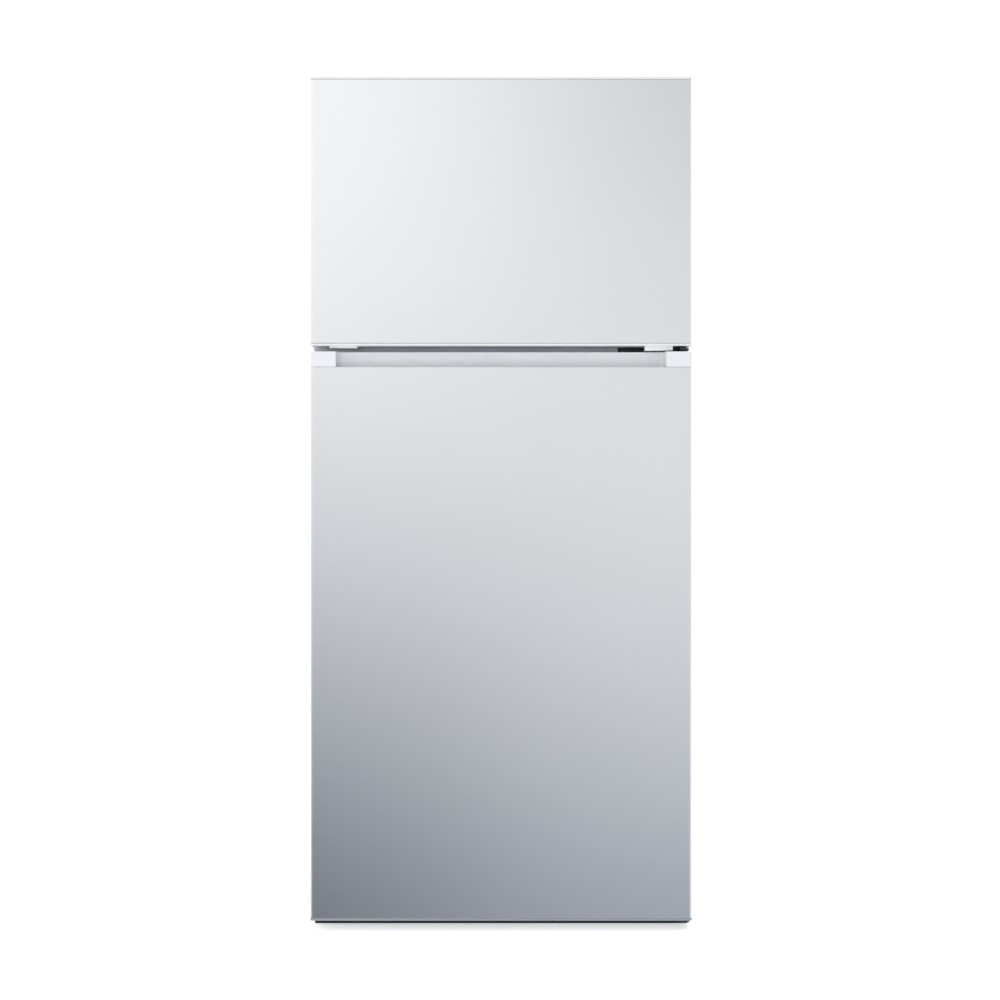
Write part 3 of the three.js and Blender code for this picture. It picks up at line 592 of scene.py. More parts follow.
def folded_skin(door):
    low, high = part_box(f"{door}_skin")
    shape = bmesh.new()
    block(shape, low, high)
    for direction in ((0, 1, 0), (0, 0, 1), (0, 0, -1)):
        bmesh.ops.delete(shape, geom=faces_towards(shape, direction), context="FACES")
    folds = [e for e in edges_along(shape.verts, 2) if len(e.link_faces) == 2]
    round_edges(shape, folds, DOOR_BEND, 8)
    for level in (high.z, low.z):
        rim = [e for e in shape.edges if all(abs(v.co.z - level) < 1e-6 for v in e.verts)]
        hem = bmesh.ops.extrude_edge_only(shape, edges=rim)["geom"]
        turned_in = [v for v in hem if isinstance(v, bmesh.types.BMVert)]
        for vert in turned_in:
            vert.co.x -= math.copysign(HEM, vert.co.x)
            vert.co.y += HEM if vert.co.y < low.y + DOOR_BEND else 0
    shape.normal_update()
    rims = [e for e in edges_sharper_than(shape, 60) if abs(direction_of(e).z) < 0.5]
    round_edges(shape, rims, HEM_BEND, 4)
    return new_piece(f"{door}_steel_front", shape, satin_steel, door, "satin_steel", [f"{door}_skin"],
                     sheet=1, edge=0.4)


for door in ("freezer_door", "fridge_door"):
    print(folded_skin(door).name)

# %% [markdown]
# ## The doors' end caps
#
# Moulded caps close the top and bottom of each door. The lower door's top cap holds the finger recess,
# whose ends curve in, and the upper door's bottom cap carries a stop at each side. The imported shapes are
# right, so they are kept and given the rounded edges of a moulding.

# %% Door end caps
CAP_EDGES = {"freezer_door_top_cap": 0.7, "freezer_door_bottom_cap": 0.6, "fridge_door_top_cap": 0.8}
for node, radius in CAP_EDGES.items():
    refined(node, f"{node}_moulding", cap_abs, "cap_plastic", radius)
# The foot cap takes the darker grey of painted shade.
refined("fridge_door_bottom_cap", "fridge_door_bottom_cap_moulding", shaded_grey_abs, "grey_cap_plastic", 0.7)
for node in ("freezer_door_foam", "fridge_door_foam", "foam_insulation"):
    repaint(node, rigid_foam)
print("caps and foam finished")

# %% [markdown]
# ## The doors' inner liners
#
# Behind each door is a vacuum-formed sheet with a raised ring that stands into the doorway and carries the
# bins. A formed sheet has drafted walls and generous corners. Rectangles are laid out at the depths of its
# profile and bridged, the ring's corners and crest are rounded, and Solidify gives the sheet its thickness.
# The lugs under the bins are small rounded blocks.

# %% Door liners
RING_HALF = 322 * MM
RING_WIDTH = 16 * MM
RING_DRAFT = 2.5 * MM
DOOR_BINS = {"freezer_door": 2, "fridge_door": 3}
RING_LEVELS = {"freezer_door": (1.180, 1.608), "fridge_door": (0.095, 1.107)}


def bin_names(door):
    return [f"{door}_bin_{i + 1}" for i in range(DOOR_BINS[door])]


def door_liner(door):
    low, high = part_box(f"{door}_liner")
    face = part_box(f"{door}_gasket")[0].y - 0.3 * MM
    crest = high.y
    ring_low = Vector((-RING_HALF, 0, RING_LEVELS[door][0]))
    ring_high = Vector((RING_HALF, 0, RING_LEVELS[door][1]))
    shape = bmesh.new()
    loops = [rectangle(shape, low, high, 0, face)]
    for inset, depth in ((0, face), (RING_DRAFT, crest), (RING_WIDTH - RING_DRAFT, crest), (RING_WIDTH, face),
                         (RING_WIDTH + 30 * MM, face), (RING_WIDTH + 34 * MM, face - 1.2 * MM)):
        loops.append(rectangle(shape, ring_low, ring_high, inset, depth))
    bridge(shape, loops)
    bmesh.ops.edgeloop_fill(shape, edges=loops[-1])
    bmesh.ops.recalc_face_normals(shape, faces=shape.faces)
    if faces_towards(shape, (0, -1, 0)):
        bmesh.ops.reverse_faces(shape, faces=shape.faces)
    shape.normal_update()
    round_edges(shape, edges_sharper_than(shape, 30, lambda e: abs(direction_of(e).y) > 0.9), 9 * MM, 5)
    round_edges(shape, edges_sharper_than(shape, 30, lambda e: abs(direction_of(e).y) < 0.5), 2 * MM, 3)
    liner = new_piece(f"{door}_formed_liner", shape, liner_polystyrene, door, "liner_plastic",
                      [f"{door}_liner"], sheet=1.6)
    return liner


def bin_lugs(door):
    inside = RING_HALF - RING_WIDTH
    shape = bmesh.new()
    for name in bin_names(door):
        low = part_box(name)[0]
        for side in (-1, 1):
            ends = sorted((side * (inside - 8.5 * MM), side * (inside + 1 * MM)))
            rounded_block(shape, (ends[0], low.y + 4 * MM, low.z - 10 * MM),
                          (ends[1], low.y + 24 * MM, low.z - 0.5 * MM), 2 * MM)
    return new_piece(f"{door}_bin_lugs", shape, liner_polystyrene, door, "liner_plastic")


for door in DOOR_BINS:
    print(door_liner(door).name, "and", bin_lugs(door).name)

# %% [markdown]
# ## Door seals
#
# A door seal is a soft extrusion, welded at its mitred corners: a foot that snaps into the liner, a bellows
# that lets it follow the door, and a broad face that holds a magnet. Its outline is carried round the
# doorway as rectangles, one for each corner of the profile, bridged into a closed tube.

# %% Door seals
SEAL_PROFILE = [(2, 0), (12, 0), (12, 2.6), (9.6, 3.6), (12.4, 5.2), (13.6, 6.4), (14, 7.6), (14, 10.2),
                (13, 11), (1, 11), (0, 10.2), (0, 7.6), (0.4, 6.4), (1.6, 5.2), (4.4, 3.6), (2, 2.6)]


def door_seal(door):
    low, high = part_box(f"{door}_gasket")
    shape = bmesh.new()
    depth = (high.y - low.y) / (11 * MM)
    loops = [rectangle(shape, low, high, inset * MM, low.y + out * depth * MM) for inset, out in SEAL_PROFILE]
    bridge(shape, loops, closed=True)
    bmesh.ops.recalc_face_normals(shape, faces=shape.faces)
    return new_piece(f"{door}_magnetic_seal", shape, seal_vinyl, door, "seal_rubber", [f"{door}_gasket"],
                     edge=0.3)


for door in DOOR_BINS:
    print(door_seal(door).name)

# %% [markdown]
# ## Door bins
#
# Each bin is one clear moulding, open above, with a front that leans in towards its foot so that it leaves
# the mould. A box loses its lid, its front foot is drawn back, its uprights and foot are rounded, and its
# walls get 2.4 mm. A white rail is clipped along the front rim, and it keeps bottles in.

# %% Door bins
BIN_WALL = 2.4
BIN_LEAN = 9 * MM


def door_bin(node):
    low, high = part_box(node)
    body = frame["nodes"][node]["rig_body"]
    shape = bmesh.new()
    block(shape, low, (high.x, high.y - 1.5 * MM, high.z))
    bmesh.ops.delete(shape, geom=faces_towards(shape, (0, 0, 1)), context="FACES")
    foot = [v for v in shape.verts if v.co.z < low.z + MM and v.co.y > low.y + MM]
    bmesh.ops.translate(shape, vec=(0, -BIN_LEAN, 0), verts=foot)
    uprights = [e for e in shape.edges if abs(direction_of(e).z) > 0.9]
    front_uprights = [e for e in uprights if e.verts[0].co.y > 0.5 * (low.y + high.y)]
    round_edges(shape, front_uprights, 16 * MM, 6)
    floor_edges = edges_sharper_than(shape, 30, lambda e: max(v.co.z for v in e.verts) < low.z + MM)
    round_edges(shape, floor_edges, 7 * MM, 4)
    new_piece(f"{node}_tray", shape, clear_polystyrene, body, "clear_plastic", [node],
              sheet=BIN_WALL, edge=0.5)

    rail = bmesh.new()
    rounded_block(rail, (low.x + 18 * MM, high.y - 1.4 * MM, high.z - 15 * MM),
                  (high.x - 18 * MM, high.y, high.z - 1 * MM), 0.6 * MM, segments=2)
    return new_piece(f"{node}_rail", rail, trim_polystyrene, body, "liner_plastic")


for door in DOOR_BINS:
    for node in bin_names(door):
        door_bin(node)
print("door bins:", sum(DOOR_BINS.values()))

# %% [markdown]
# ## The cabinet's wrapper
#
# The sides and the top are one long painted sheet folded over the cabinet, turned in at the front to make the
# flange that the seals close on. A box without its back and foot gives the wrap. Its front face is inset, the
# inset is moved to the doorway, and the middle is taken out. The folds have a 3 mm radius.

# %% Cabinet wrapper
CABINET_FOLD = 3 * MM


def cabinet_wrapper():
    low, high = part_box("cabinet_shell")
    fridge_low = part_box("fresh_food_liner")[0]
    freezer_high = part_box("freezer_liner")[1]
    shape = bmesh.new()
    block(shape, low, high)
    for direction in ((0, 1, 0), (0, 0, -1)):
        bmesh.ops.delete(shape, geom=faces_towards(shape, direction), context="FACES")
    front = faces_towards(shape, (0, -1, 0))
    bmesh.ops.inset_region(shape, faces=front, thickness=40 * MM, use_even_offset=True, use_boundary=True)
    doorway_x = freezer_high.x + 0.3 * MM
    doorway_z = (fridge_low.z - 0.3 * MM, freezer_high.z + 0.3 * MM)
    middle = faces_towards(shape, (0, -1, 0))
    inner = min(middle, key=lambda face: (face.calc_center_median() - Vector((0, low.y, 0.85))).length)
    for vert in inner.verts:
        vert.co.x = math.copysign(doorway_x, vert.co.x)
        vert.co.z = doorway_z[1] if vert.co.z > 0.8 else doorway_z[0]
    bmesh.ops.delete(shape, geom=[inner], context="FACES")
    round_edges(shape, edges_sharper_than(shape, 60), CABINET_FOLD, 4)
    return new_piece("cabinet_wrapper", shape, painted_steel, "cabinet", "painted_steel", ["cabinet_shell"],
                     sheet=1.2, edge=0.3)


print(cabinet_wrapper().name)

# %% [markdown]
# ## The two compartments
#
# Each compartment is lined with one vacuum-formed sheet: a deep box with wide corners, open at the front,
# and with ledges for the shelves. The fridge's has a sloping step over the compressor. Its side outline is
# drawn as one face and pushed across the width, the front is removed, and the faces are turned to look into
# the room. The step's own edges stand out into the room, so they are rounded less, which keeps the sheet
# over the foam.

# %% Compartment liners
STEP_LOW = (0.125, 0.215)
STEP_HIGH = (0.200, 0.305)
LINER_SHEET = 2.0
CORNER = 16 * MM
STEP_EDGE = 5 * MM
LIP_GAP = 0.2 * MM


def room(shape, outline, half):
    side = shape.faces.new([shape.verts.new((-half, y, z)) for y, z in outline])
    pushed = bmesh.ops.extrude_face_region(shape, geom=[side])["geom"]
    across = [v for v in pushed if isinstance(v, bmesh.types.BMVert)]
    bmesh.ops.translate(shape, vec=(2 * half, 0, 0), verts=across)
    bmesh.ops.recalc_face_normals(shape, faces=shape.faces)
    bmesh.ops.delete(shape, geom=faces_towards(shape, (0, -1, 0)), context="FACES")
    bmesh.ops.reverse_faces(shape, faces=shape.faces)
    shape.normal_update()
    round_edges(shape, edges_sharper_than(shape, 20, lambda e: e.is_convex), STEP_EDGE, 4)
    round_edges(shape, edges_sharper_than(shape, 20), CORNER, 5)


def flange(shape, low, high):
    """Carries the rounded mouth out to square corners, so that no foam shows beside it."""
    mouth = [e for e in shape.edges if len(e.link_faces) == 1]
    made = bmesh.ops.extrude_edge_only(shape, edges=mouth)["geom"]
    rim = [v for v in made if isinstance(v, bmesh.types.BMVert)]
    curved = LINER_SHEET * MM + CORNER - 0.01 * MM
    for vert in rim:
        for axis in (0, 2):
            if vert.co[axis] < low[axis] + curved:
                vert.co[axis] = low[axis] + LIP_GAP
            elif vert.co[axis] > high[axis] - curved:
                vert.co[axis] = high[axis] - LIP_GAP
    bmesh.ops.remove_doubles(shape, verts=rim, dist=0.01 * MM)
    bmesh.ops.reverse_faces(shape, faces=faces_towards(shape, (0, 1, 0)))


def ledges(shape, half, tops, back):
    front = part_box("shelf_frame_1")[0].y + 12 * MM
    for top in tops:
        for side in (-1, 1):
            ends = sorted((side * (half - 8 * MM), side * (half + 1.5 * MM)))
            rounded_block(shape, (ends[0], front, top - 8 * MM), (ends[1], back, top), 2.5 * MM)


def compartment(node, name, outline, tops, back):
    low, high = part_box(node)
    half = high.x - LINER_SHEET * MM
    shape = bmesh.new()
    room(shape, outline, half)
    flange(shape, low, high)
    new_piece(name, shape, liner_polystyrene, "cabinet", "liner_plastic", [node], sheet=LINER_SHEET)
    rests = bmesh.new()
    ledges(rests, half, tops, back)
    return new_piece(f"{name}_ledges", rests, liner_polystyrene, "cabinet", "liner_plastic")


def inside_of(node):
    low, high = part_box(node)
    return low.y, high.y - LINER_SHEET * MM, low.z + LINER_SHEET * MM, high.z - LINER_SHEET * MM


front, back, floor, ceiling = inside_of("fresh_food_liner")
fridge_outline = [(front, floor), (STEP_LOW[0], floor), STEP_LOW, STEP_HIGH, (back, STEP_HIGH[1]),
                  (back, ceiling), (front, ceiling)]
shelf_rests = [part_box(n)[0].z - 0.3 * MM for n in ("crisper_cover_frame", "shelf_frame_1", "shelf_frame_2")]
compartment("fresh_food_liner", "fridge_compartment", fridge_outline, shelf_rests, back - 30 * MM)
print("fridge compartment, mm deep:", round((back - front) / MM))

front, back, floor, ceiling = inside_of("freezer_liner")
freezer_outline = [(front, floor), (back, floor), (back, ceiling), (front, ceiling)]
freezer_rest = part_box("freezer_shelf")[0].z - 0.3 * MM
compartment("freezer_liner", "freezer_compartment", freezer_outline, [freezer_rest], 0.25)
print("freezer compartment, mm high:", round((ceiling - floor) / MM))

# %% [markdown]
# ## Screws
#
# The metal panels are held by hexagon-headed screws with a flange. Each is a low flange and a six-sided head,
# both cones with caps, and the head's rim is rounded. They are drawn once along Z and turned to face the way
# that the panel does.

# %% Screw heads
FACE_BACK = Matrix.Rotation(math.radians(-90), 4, "X")
FACE_FRONT = Matrix.Rotation(math.radians(90), 4, "X")


def screw_heads(name, places, turn, size=4.0):
    shape = bmesh.new()
    for number, place in enumerate(places):
        twist = Matrix.Rotation(0.7 * number, 4, "Z")
        spot = Matrix.Translation(place) @ turn @ twist
        for sides, radius, bottom, top in ((20, size, 0, 0.9), (6, size * 0.68, 0.9, 2.6)):
            made = bmesh.ops.create_cone(
                shape, cap_ends=True, segments=sides, radius1=radius * MM, radius2=radius * 0.9 * MM,
                depth=(top - bottom) * MM)["verts"]
            lift = Matrix.Translation((0, 0, (top + bottom) / 2 * MM))
            bmesh.ops.transform(shape, matrix=spot @ lift, verts=made)
    return new_piece(name, shape, zinc_plate, "cabinet", "galvanised_steel", edge=0.15)


# %% [markdown]
# ## The back
#
# A galvanised panel closes the back, stiffened by pressed ribs, and a louvred cover closes the compressor
# compartment. Under each slot a hood is pressed outwards, so that the slots can't be seen into from above.
# Spacers keep the cabinet off the wall and hold the warm air's path open.

# %% Rear panel and cover
RIB_STEP = 0.11
RIB_HALF = 9 * MM
RIB_PROUD = 4 * MM
RIB_FOOT = 0.14
RIB_HEAD = 0.3
SIDE_SCREWS = 0.362
TOP_SCREWS = 0.12
SCREW_SUNK = 0.1 * MM
LOUVRE_ROWS = 6
LOUVRE_STEP = 26 * MM
LOUVRE_TOP = 99.5 * MM
HOOD_HALF = 0.073
HOOD_DEEP = 5 * MM
HOOD_HIGH = 9 * MM


def rear_panel():
    low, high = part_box("rear_panel")
    shape = bmesh.new()
    rounded_block(shape, low, high, 0.4 * MM, segments=2)
    for x in (-2 * RIB_STEP, -RIB_STEP, 0, RIB_STEP, 2 * RIB_STEP):
        rounded_block(shape, (x - RIB_HALF, high.y - RIB_PROUD, low.z + RIB_FOOT),
                      (x + RIB_HALF, high.y + RIB_PROUD, high.z - RIB_HEAD), RIB_PROUD - 0.1 * MM, segments=4)
    new_piece("rear_panel_pressing", shape, galvanised_steel, "cabinet", "galvanised_steel", ["rear_panel"])
    rows = [low.z + 0.03 + i * (high.z - low.z - 0.06) / 5 for i in range(6)]
    seat = high.y - SCREW_SUNK
    places = [(x, seat, z) for z in rows for x in (-SIDE_SCREWS, SIDE_SCREWS)]
    places += [(x, seat, high.z - 0.02) for x in (-TOP_SCREWS, TOP_SCREWS)]
    return screw_heads("rear_panel_screws", places, FACE_BACK)


def louvre_hoods(shape):
    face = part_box("rear_cover")[1].y
    for x in (-0.2, 0, 0.2):
        for row in range(LOUVRE_ROWS):
            top = LOUVRE_TOP + row * LOUVRE_STEP
            hood = block(shape, (x - HOOD_HALF, face - 0.4 * MM, top - HOOD_HIGH),
                         (x + HOOD_HALF, face + HOOD_DEEP, top))
            low_outer = [v for v in hood if v.co.y > face + MM and v.co.z < top - MM]
            bmesh.ops.translate(shape, vec=(0, 0, 5 * MM), verts=low_outer)
            outer = [e for e in edges_along(hood) if min(v.co.y for v in e.verts) > face + MM]
            round_edges(shape, outer, 1.2 * MM, 2)


print(rear_panel().name)
hooded = refined("rear_cover", "rear_cover_louvred", galvanised_steel, "galvanised_steel", 0.3, louvre_hoods)
cover_low, cover_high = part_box("rear_cover")
cover_screws = [(x, cover_high.y - SCREW_SUNK, z) for x in (-0.36, -0.1, 0.1, 0.36)
                for z in (cover_low.z + 0.01, cover_high.z - 0.01)]
print(hooded.name, "and", screw_heads("rear_cover_screws", cover_screws, FACE_BACK).name)

# %% [markdown]
# The round pieces at the back and underneath are turned from their outlines: radius and distance along the
# axis, in millimetres. A foot is a pad with a round boss and a threaded stem, whose thread is drawn as
# rings 1.5 mm apart. A roller is a wheel with hollowed sides, turned in one with its axle.

# %% Rear spacers, gland, feet and rollers
SPACER_REACH = (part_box("rear_spacer_left")[1].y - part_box("rear_spacer_left")[0].y) / MM
SPACER = [(0, 0), (18.6, 0), (19, 0.5), (18.4, SPACER_REACH - 2), (15, SPACER_REACH - 1),
          (14.2, SPACER_REACH), (8, SPACER_REACH), (7.4, SPACER_REACH - 1.6), (0, SPACER_REACH - 1.6)]
GLAND = [(5, -4), (11.6, -4), (12, -3.4), (12, 0), (19, 0), (19, 1.6), (18, 2.5), (14, 3.2), (12, 6), (11, 7),
         (6, 7), (5, 6.2), (5, -4)]
GLAND_PROUD = 7 * MM
PAD = [(0, 0), (17, 0), (18, 1), (18, 4), (17, 5.2), (12, 6.2), (9, 8.2), (9, 12.4), (8.2, 13), (0, 13)]
THREAD = [(4.9 - 0.9 * (i % 2), 13.5 + i * 0.75) for i in range(50)]
STEM = [(0, 13), (4.9, 13)] + THREAD + [(4, 52), (0, 52)]
HALF_WHEEL = [(0, 14), (2.6, 14), (3, 13.6), (3, 9), (6, 9), (6.6, 7.4), (13, 7.4), (14, 9), (16.4, 9),
              (17.6, 8.2), (18, 7)]
WHEEL = [(radius, -along) for radius, along in HALF_WHEEL] + HALF_WHEEL[::-1]


def turned_piece(node, outlines, finish, slot, turn=Matrix(), **fixed):
    """A round piece in place of a packed one, from outlines that each come with a number of steps."""
    shape = bmesh.new()
    for outline, steps in outlines:
        turned(shape, outline, between(*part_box(node), **fixed), turn, steps)
    return new_piece(f"{node}_moulding", shape, finish, frame["nodes"][node]["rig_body"], slot, [node])


for side in ("left", "right"):
    node = f"rear_spacer_{side}"
    turned_piece(node, [(SPACER, 40)], black_polypropylene, "black_plastic", ALONG_Y, y=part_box(node)[0].y)
gland_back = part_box("supply_gland")[1].y
turned_piece("supply_gland", [(GLAND, 40)], black_rubber, "black_rubber", ALONG_Y, y=gland_back - GLAND_PROUD)
for side in ("left", "right"):
    node = f"front_foot_{side}"
    turned_piece(node, [(PAD, 40), (STEM, 24)], black_polypropylene, "black_plastic", z=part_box(node)[0].z)
    turned_piece(f"rear_roller_{side}", [(WHEEL, 40)], black_polypropylene, "black_plastic", ALONG_X)
print("spacers, gland, feet and rollers turned")

# %% [markdown]
# ## The base and the compressor compartment
#
# Under the cabinet are a galvanised floor and the tray that carries the compressor. The compressor is a
# welded steel can: two deep-drawn halves with a seam flange round its waist, on a stand with four rubber
# grommets. Beside it are the terminal box, the tubes, the filter drier and the pan that the defrost water
# dries in.

# %% Base, kick plate and pan
refined("bottom_plate", "bottom_plate_pressing", galvanised_steel, "galvanised_steel", 0.3)
refined("compressor_base", "compressor_tray", galvanised_steel, "galvanised_steel", 0.3)
refined("drain_pan", "drain_pan_moulding", black_polypropylene, "black_plastic", 1.2)


def kick_plate_ribs(shape):
    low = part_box("kick_plate")[0]
    for i in range(-14, 15):
        x = i * 20 * MM
        rounded_block(shape, (x - 7 * MM, low.y + 2 * MM, low.z + 5.2 * MM),
                      (x + 7 * MM, low.y + 3.4 * MM, low.z + 8.4 * MM), 0.5 * MM, segments=1)


refined("kick_plate", "kick_plate_moulding", black_polypropylene, "black_plastic", 0.6, kick_plate_ribs)

# %% Compressor
CAN_PROFILE = [(0, 8), (56, 8), (68, 12), (75, 20), (78, 34), (80, 60), (80, 76), (84, 78), (84, 84),
               (80, 86), (79.4, 102), (77, 118), (71, 134), (60, 146), (46, 153), (26, 158), (0, 160)]
GROMMET = [(0, 0), (10, 0), (11, 1), (11, 6), (8, 7.6), (8, 11.4), (10, 12.4), (10, 15), (8.6, 16), (0, 16)]
GROMMET_X = 86
GROMMET_Y = 40
DRIER_PROFILE = [(0, 0), (3, 0), (3, 9), (4, 12), (8.4, 19), (9, 21), (9, 24), (8.7, 24.6), (8.7, 26),
                 (9, 26.6), (9, 91), (8.4, 93), (4, 99), (3, 102), (3, 112), (0, 112)]
CAN_ASIDE = 3 * MM


def compressor():
    low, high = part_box("compressor")
    middle = between(low, high, x=(low.x + high.x) / 2 - CAN_ASIDE, z=low.z)
    shape = bmesh.new()
    turned(shape, CAN_PROFILE, middle, steps=56)
    block_about(shape, middle, (-98, -52, 8), (98, 52, 11), 6 * MM, axis=2)
    can = new_piece("compressor_can", shape, black_enamel, "cabinet", "black_steel", ["compressor"], edge=0.4)
    box = bmesh.new()
    block_about(box, middle, (60, -24, 60), (104, 24, 108), 3 * MM)
    new_piece("compressor_terminal_cover", box, black_polypropylene, "cabinet", "black_plastic")
    grommets = bmesh.new()
    for x in (-GROMMET_X, GROMMET_X):
        for y in (-GROMMET_Y, GROMMET_Y):
            turned(grommets, GROMMET, middle + Vector((x, y, 0)) * MM, steps=24)
    new_piece("compressor_grommets", grommets, black_rubber, "cabinet", "black_rubber")
    pipes = bmesh.new()
    at = middle / MM
    tube(pipes, [(at.x - 60, at.y - 20, at.z + 100), (at.x - 110, at.y - 20, at.z + 100),
                 (at.x - 110, at.y - 20, at.z + 200), (at.x + 152, at.y - 62, at.z + 200),
                 (at.x + 152, at.y - 62, at.z + 152)], 3, 14)
    tube(pipes, [(at.x - 50, at.y + 40, at.z + 60), (at.x - 96, at.y + 40, at.z + 60),
                 (at.x - 96, at.y + 40, at.z + 215), (at.x - 30, at.y - 60, at.z + 230)], 4, 14)
    tube(pipes, [(at.x + 20, at.y + 70, at.z + 100), (at.x + 20, at.y + 84, at.z + 100),
                 (at.x + 20, at.y + 84, at.z + 150)], 3, 6)
    new_piece("compressor_tubes", pipes, drawn_copper, "cabinet", "drier_copper")
    return can


print(compressor().name)
low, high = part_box("filter_drier")
shape = bmesh.new()
turned(shape, DRIER_PROFILE, between(low, high, z=low.z))
new_piece("filter_drier_body", shape, drawn_copper, "cabinet", "drier_copper", ["filter_drier"])
print("compressor compartment filled")

# %% [markdown]
# ## Hinges
#
# Three stamped plates carry the doors: one on top under a snap-on cover, one between the doors, and one at
# the foot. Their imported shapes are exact, because the doors turn on their pins. They get a coating, rounded
# edges and the screws that hold them.

# %% Hinges
refined("top_hinge", "top_hinge_plate", galvanised_steel, "galvanised_steel", 0.4)
refined("top_hinge_cover", "top_hinge_cover_moulding", cap_abs, "cap_plastic", 1.4)
refined("mid_hinge", "mid_hinge_plate", black_powder_coat, "black_steel", 0.5)
refined("bottom_hinge", "bottom_hinge_plate", black_powder_coat, "black_steel", 0.5)

low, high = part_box("mid_hinge")
flange_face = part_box("cabinet_shell")[0].y - 3.3 * MM
mid_screws = [(low.x + offset * MM, flange_face + 0.1 * MM, 1.1384) for offset in (10, 50, 90)]
print(screw_heads("mid_hinge_screws", mid_screws, FACE_FRONT, size=3.6).name)

low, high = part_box("bottom_hinge")
bottom_screws = [((low.x + high.x) / 2 - 0.003, flange_face + 0.1 * MM, z) for z in (0.042, 0.055)]
print(screw_heads("bottom_hinge_screws", bottom_screws, FACE_FRONT, size=3.6).name)

low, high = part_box("top_hinge")
top_screws = [((low.x + high.x) / 2 - 0.004, y, high.z - 0.1 * MM) for y in (-0.27, -0.245, -0.22)]
print(screw_heads("top_hinge_screws", top_screws, Matrix(), size=3.6).name)

# The rail between the compartments is smooth painted sheet. Its paint is lighter and bluer than the sides,
# a painted light that lifts the shade of the narrow gap between the doors, where the rail is seen.
gap_lightening_rail_paint = surface(
    "smooth_painted_steel_lightened_for_gap_shade", ("#c9cfda", "#d3d8e0"), (0.3, 0.42), 3, 0.006, cloud=200, IOR=1.5)
refined("mullion_rail", "mullion_rail_pressing", gap_lightening_rail_paint, "painted_steel", 0.3)

# %% [markdown]
# ## The freezer's inside
#
# A glass shelf divides the freezer. Behind it a white cover hides the evaporator, and a fan behind the
# round group of slots blows its cold air in. The evaporator is a stack of thin aluminium fins on a tube
# that runs to and fro through them.

# %% Freezer shelf
def glass_sheet(node, name, radius=8):
    """A sheet of glass with ground edges, which carry the second finish."""
    low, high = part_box(node)
    shape = bmesh.new()
    block(shape, low, high)
    for face in shape.faces:
        face.material_index = 0 if abs(face.normal.z) > 0.5 else 1
    round_edges(shape, edges_along(shape.verts, 2), radius * MM, 5)
    rims = edges_sharper_than(shape, 60)
    round_edges(shape, rims, 0.8 * MM, 2)
    return new_piece(name, shape, [shelf_glass, glass_edge], "cabinet", "shelf_glass", [node])


print(glass_sheet("freezer_shelf", "freezer_glass_shelf").name)
low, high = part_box("freezer_shelf")
shape = bmesh.new()
rounded_block(shape, (low.x, low.y - 2.2 * MM, low.z - 2.6 * MM),
              (high.x, low.y + 10 * MM, high.z + 2.6 * MM),
              2.4 * MM)
new_piece("freezer_shelf_front_trim", shape, trim_polystyrene, "cabinet", "liner_plastic")

# %% Evaporator and its cover
refined("evaporator_cover", "evaporator_cover_moulding", trim_polystyrene, "liner_plastic", 0.9)
FIN_STEP = 7.5 * MM
TUBE_ROWS = 5


def evaporator():
    low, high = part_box("evaporator")
    fins = bmesh.new()
    count = int((high.x - low.x - 0.02) / FIN_STEP)
    for i in range(count + 1):
        x = (i - count / 2) * FIN_STEP
        block(fins, (x - 0.25 * MM, low.y, low.z), (x + 0.25 * MM, high.y, high.z))
    new_piece("evaporator_fins", fins, mill_aluminium, "cabinet", "evaporator_aluminium", ["evaporator"])
    rows = [low.z + (i + 0.5) * (high.z - low.z) / TUBE_ROWS for i in range(TUBE_ROWS)]
    middle = (low.y + high.y) / 2 / MM
    ends = [high.x / MM - 5, low.x / MM + 5]
    path = [(ends[1], middle, rows[0] / MM)]
    for number, row in enumerate(rows):
        path.append((ends[number % 2], middle, row / MM))
        if number < TUBE_ROWS - 1:
            path.append((ends[number % 2], middle, rows[number + 1] / MM))
    pipes = bmesh.new()
    tube(pipes, path, 4, 16)
    return new_piece("evaporator_tube", pipes, mill_aluminium, "cabinet", "evaporator_aluminium")


print(evaporator().name)

# %% [markdown]
# The fan's blades are twisted: steep at the hub and flatter at the tip, so that each part pushes the same
# amount of air. One blade starts as a flat grid along its radius, each row of it is turned by its own
# pitch, and a spin that copies makes the other four.

# %% Fan
BLADE_ROOT = 13 * MM
BLADE_TIP = 43 * MM
BLADE_CHORD = 18 * MM
BLADES = 5
HUB_BEHIND = 9 * MM
FAN_LEVEL = 1.5


def fan():
    centre = Vector((0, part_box("evaporator_fan")[0].y + HUB_BEHIND, FAN_LEVEL))
    shape = bmesh.new()
    blade = bmesh.ops.create_grid(shape, x_segments=6, y_segments=4, size=0.5)["verts"]
    length = BLADE_TIP - BLADE_ROOT
    bmesh.ops.scale(shape, vec=(length, BLADE_CHORD, 1), verts=blade)
    bmesh.ops.translate(shape, vec=((BLADE_ROOT + BLADE_TIP) / 2, 0, 0), verts=blade)
    columns = sorted({round(v.co.x, 5) for v in blade})
    for column in columns:
        share = (column - columns[0]) / length
        row = [v for v in blade if abs(v.co.x - column) < 1e-5]
        bmesh.ops.rotate(shape, verts=row, cent=(column, 0, 0),
                         matrix=Matrix.Rotation(math.radians(44 - 20 * share), 3, "X"))
    bmesh.ops.rotate(shape, verts=blade, matrix=Matrix.Rotation(math.radians(90), 3, "X"))
    bmesh.ops.spin(
        shape, geom=shape.verts[:] + shape.edges[:] + shape.faces[:], cent=(0, 0, 0), axis=(0, 1, 0),
        angle=math.tau * (BLADES - 1) / BLADES, steps=BLADES - 1, use_duplicate=True)
    bmesh.ops.solidify(shape, geom=shape.faces[:], thickness=1.2 * MM)
    bmesh.ops.recalc_face_normals(shape, faces=shape.faces)
    bmesh.ops.translate(shape, vec=centre, verts=shape.verts)
    turned(shape, [(0, -9), (11, -9), (14, -7.6), (15, -5), (15, 7), (14, 8), (0, 8)], centre, ALONG_Y, 36)
    return new_piece("evaporator_fan_rotor", shape, black_polypropylene, "evaporator_fan_body",
                     "black_plastic", ["evaporator_fan"])


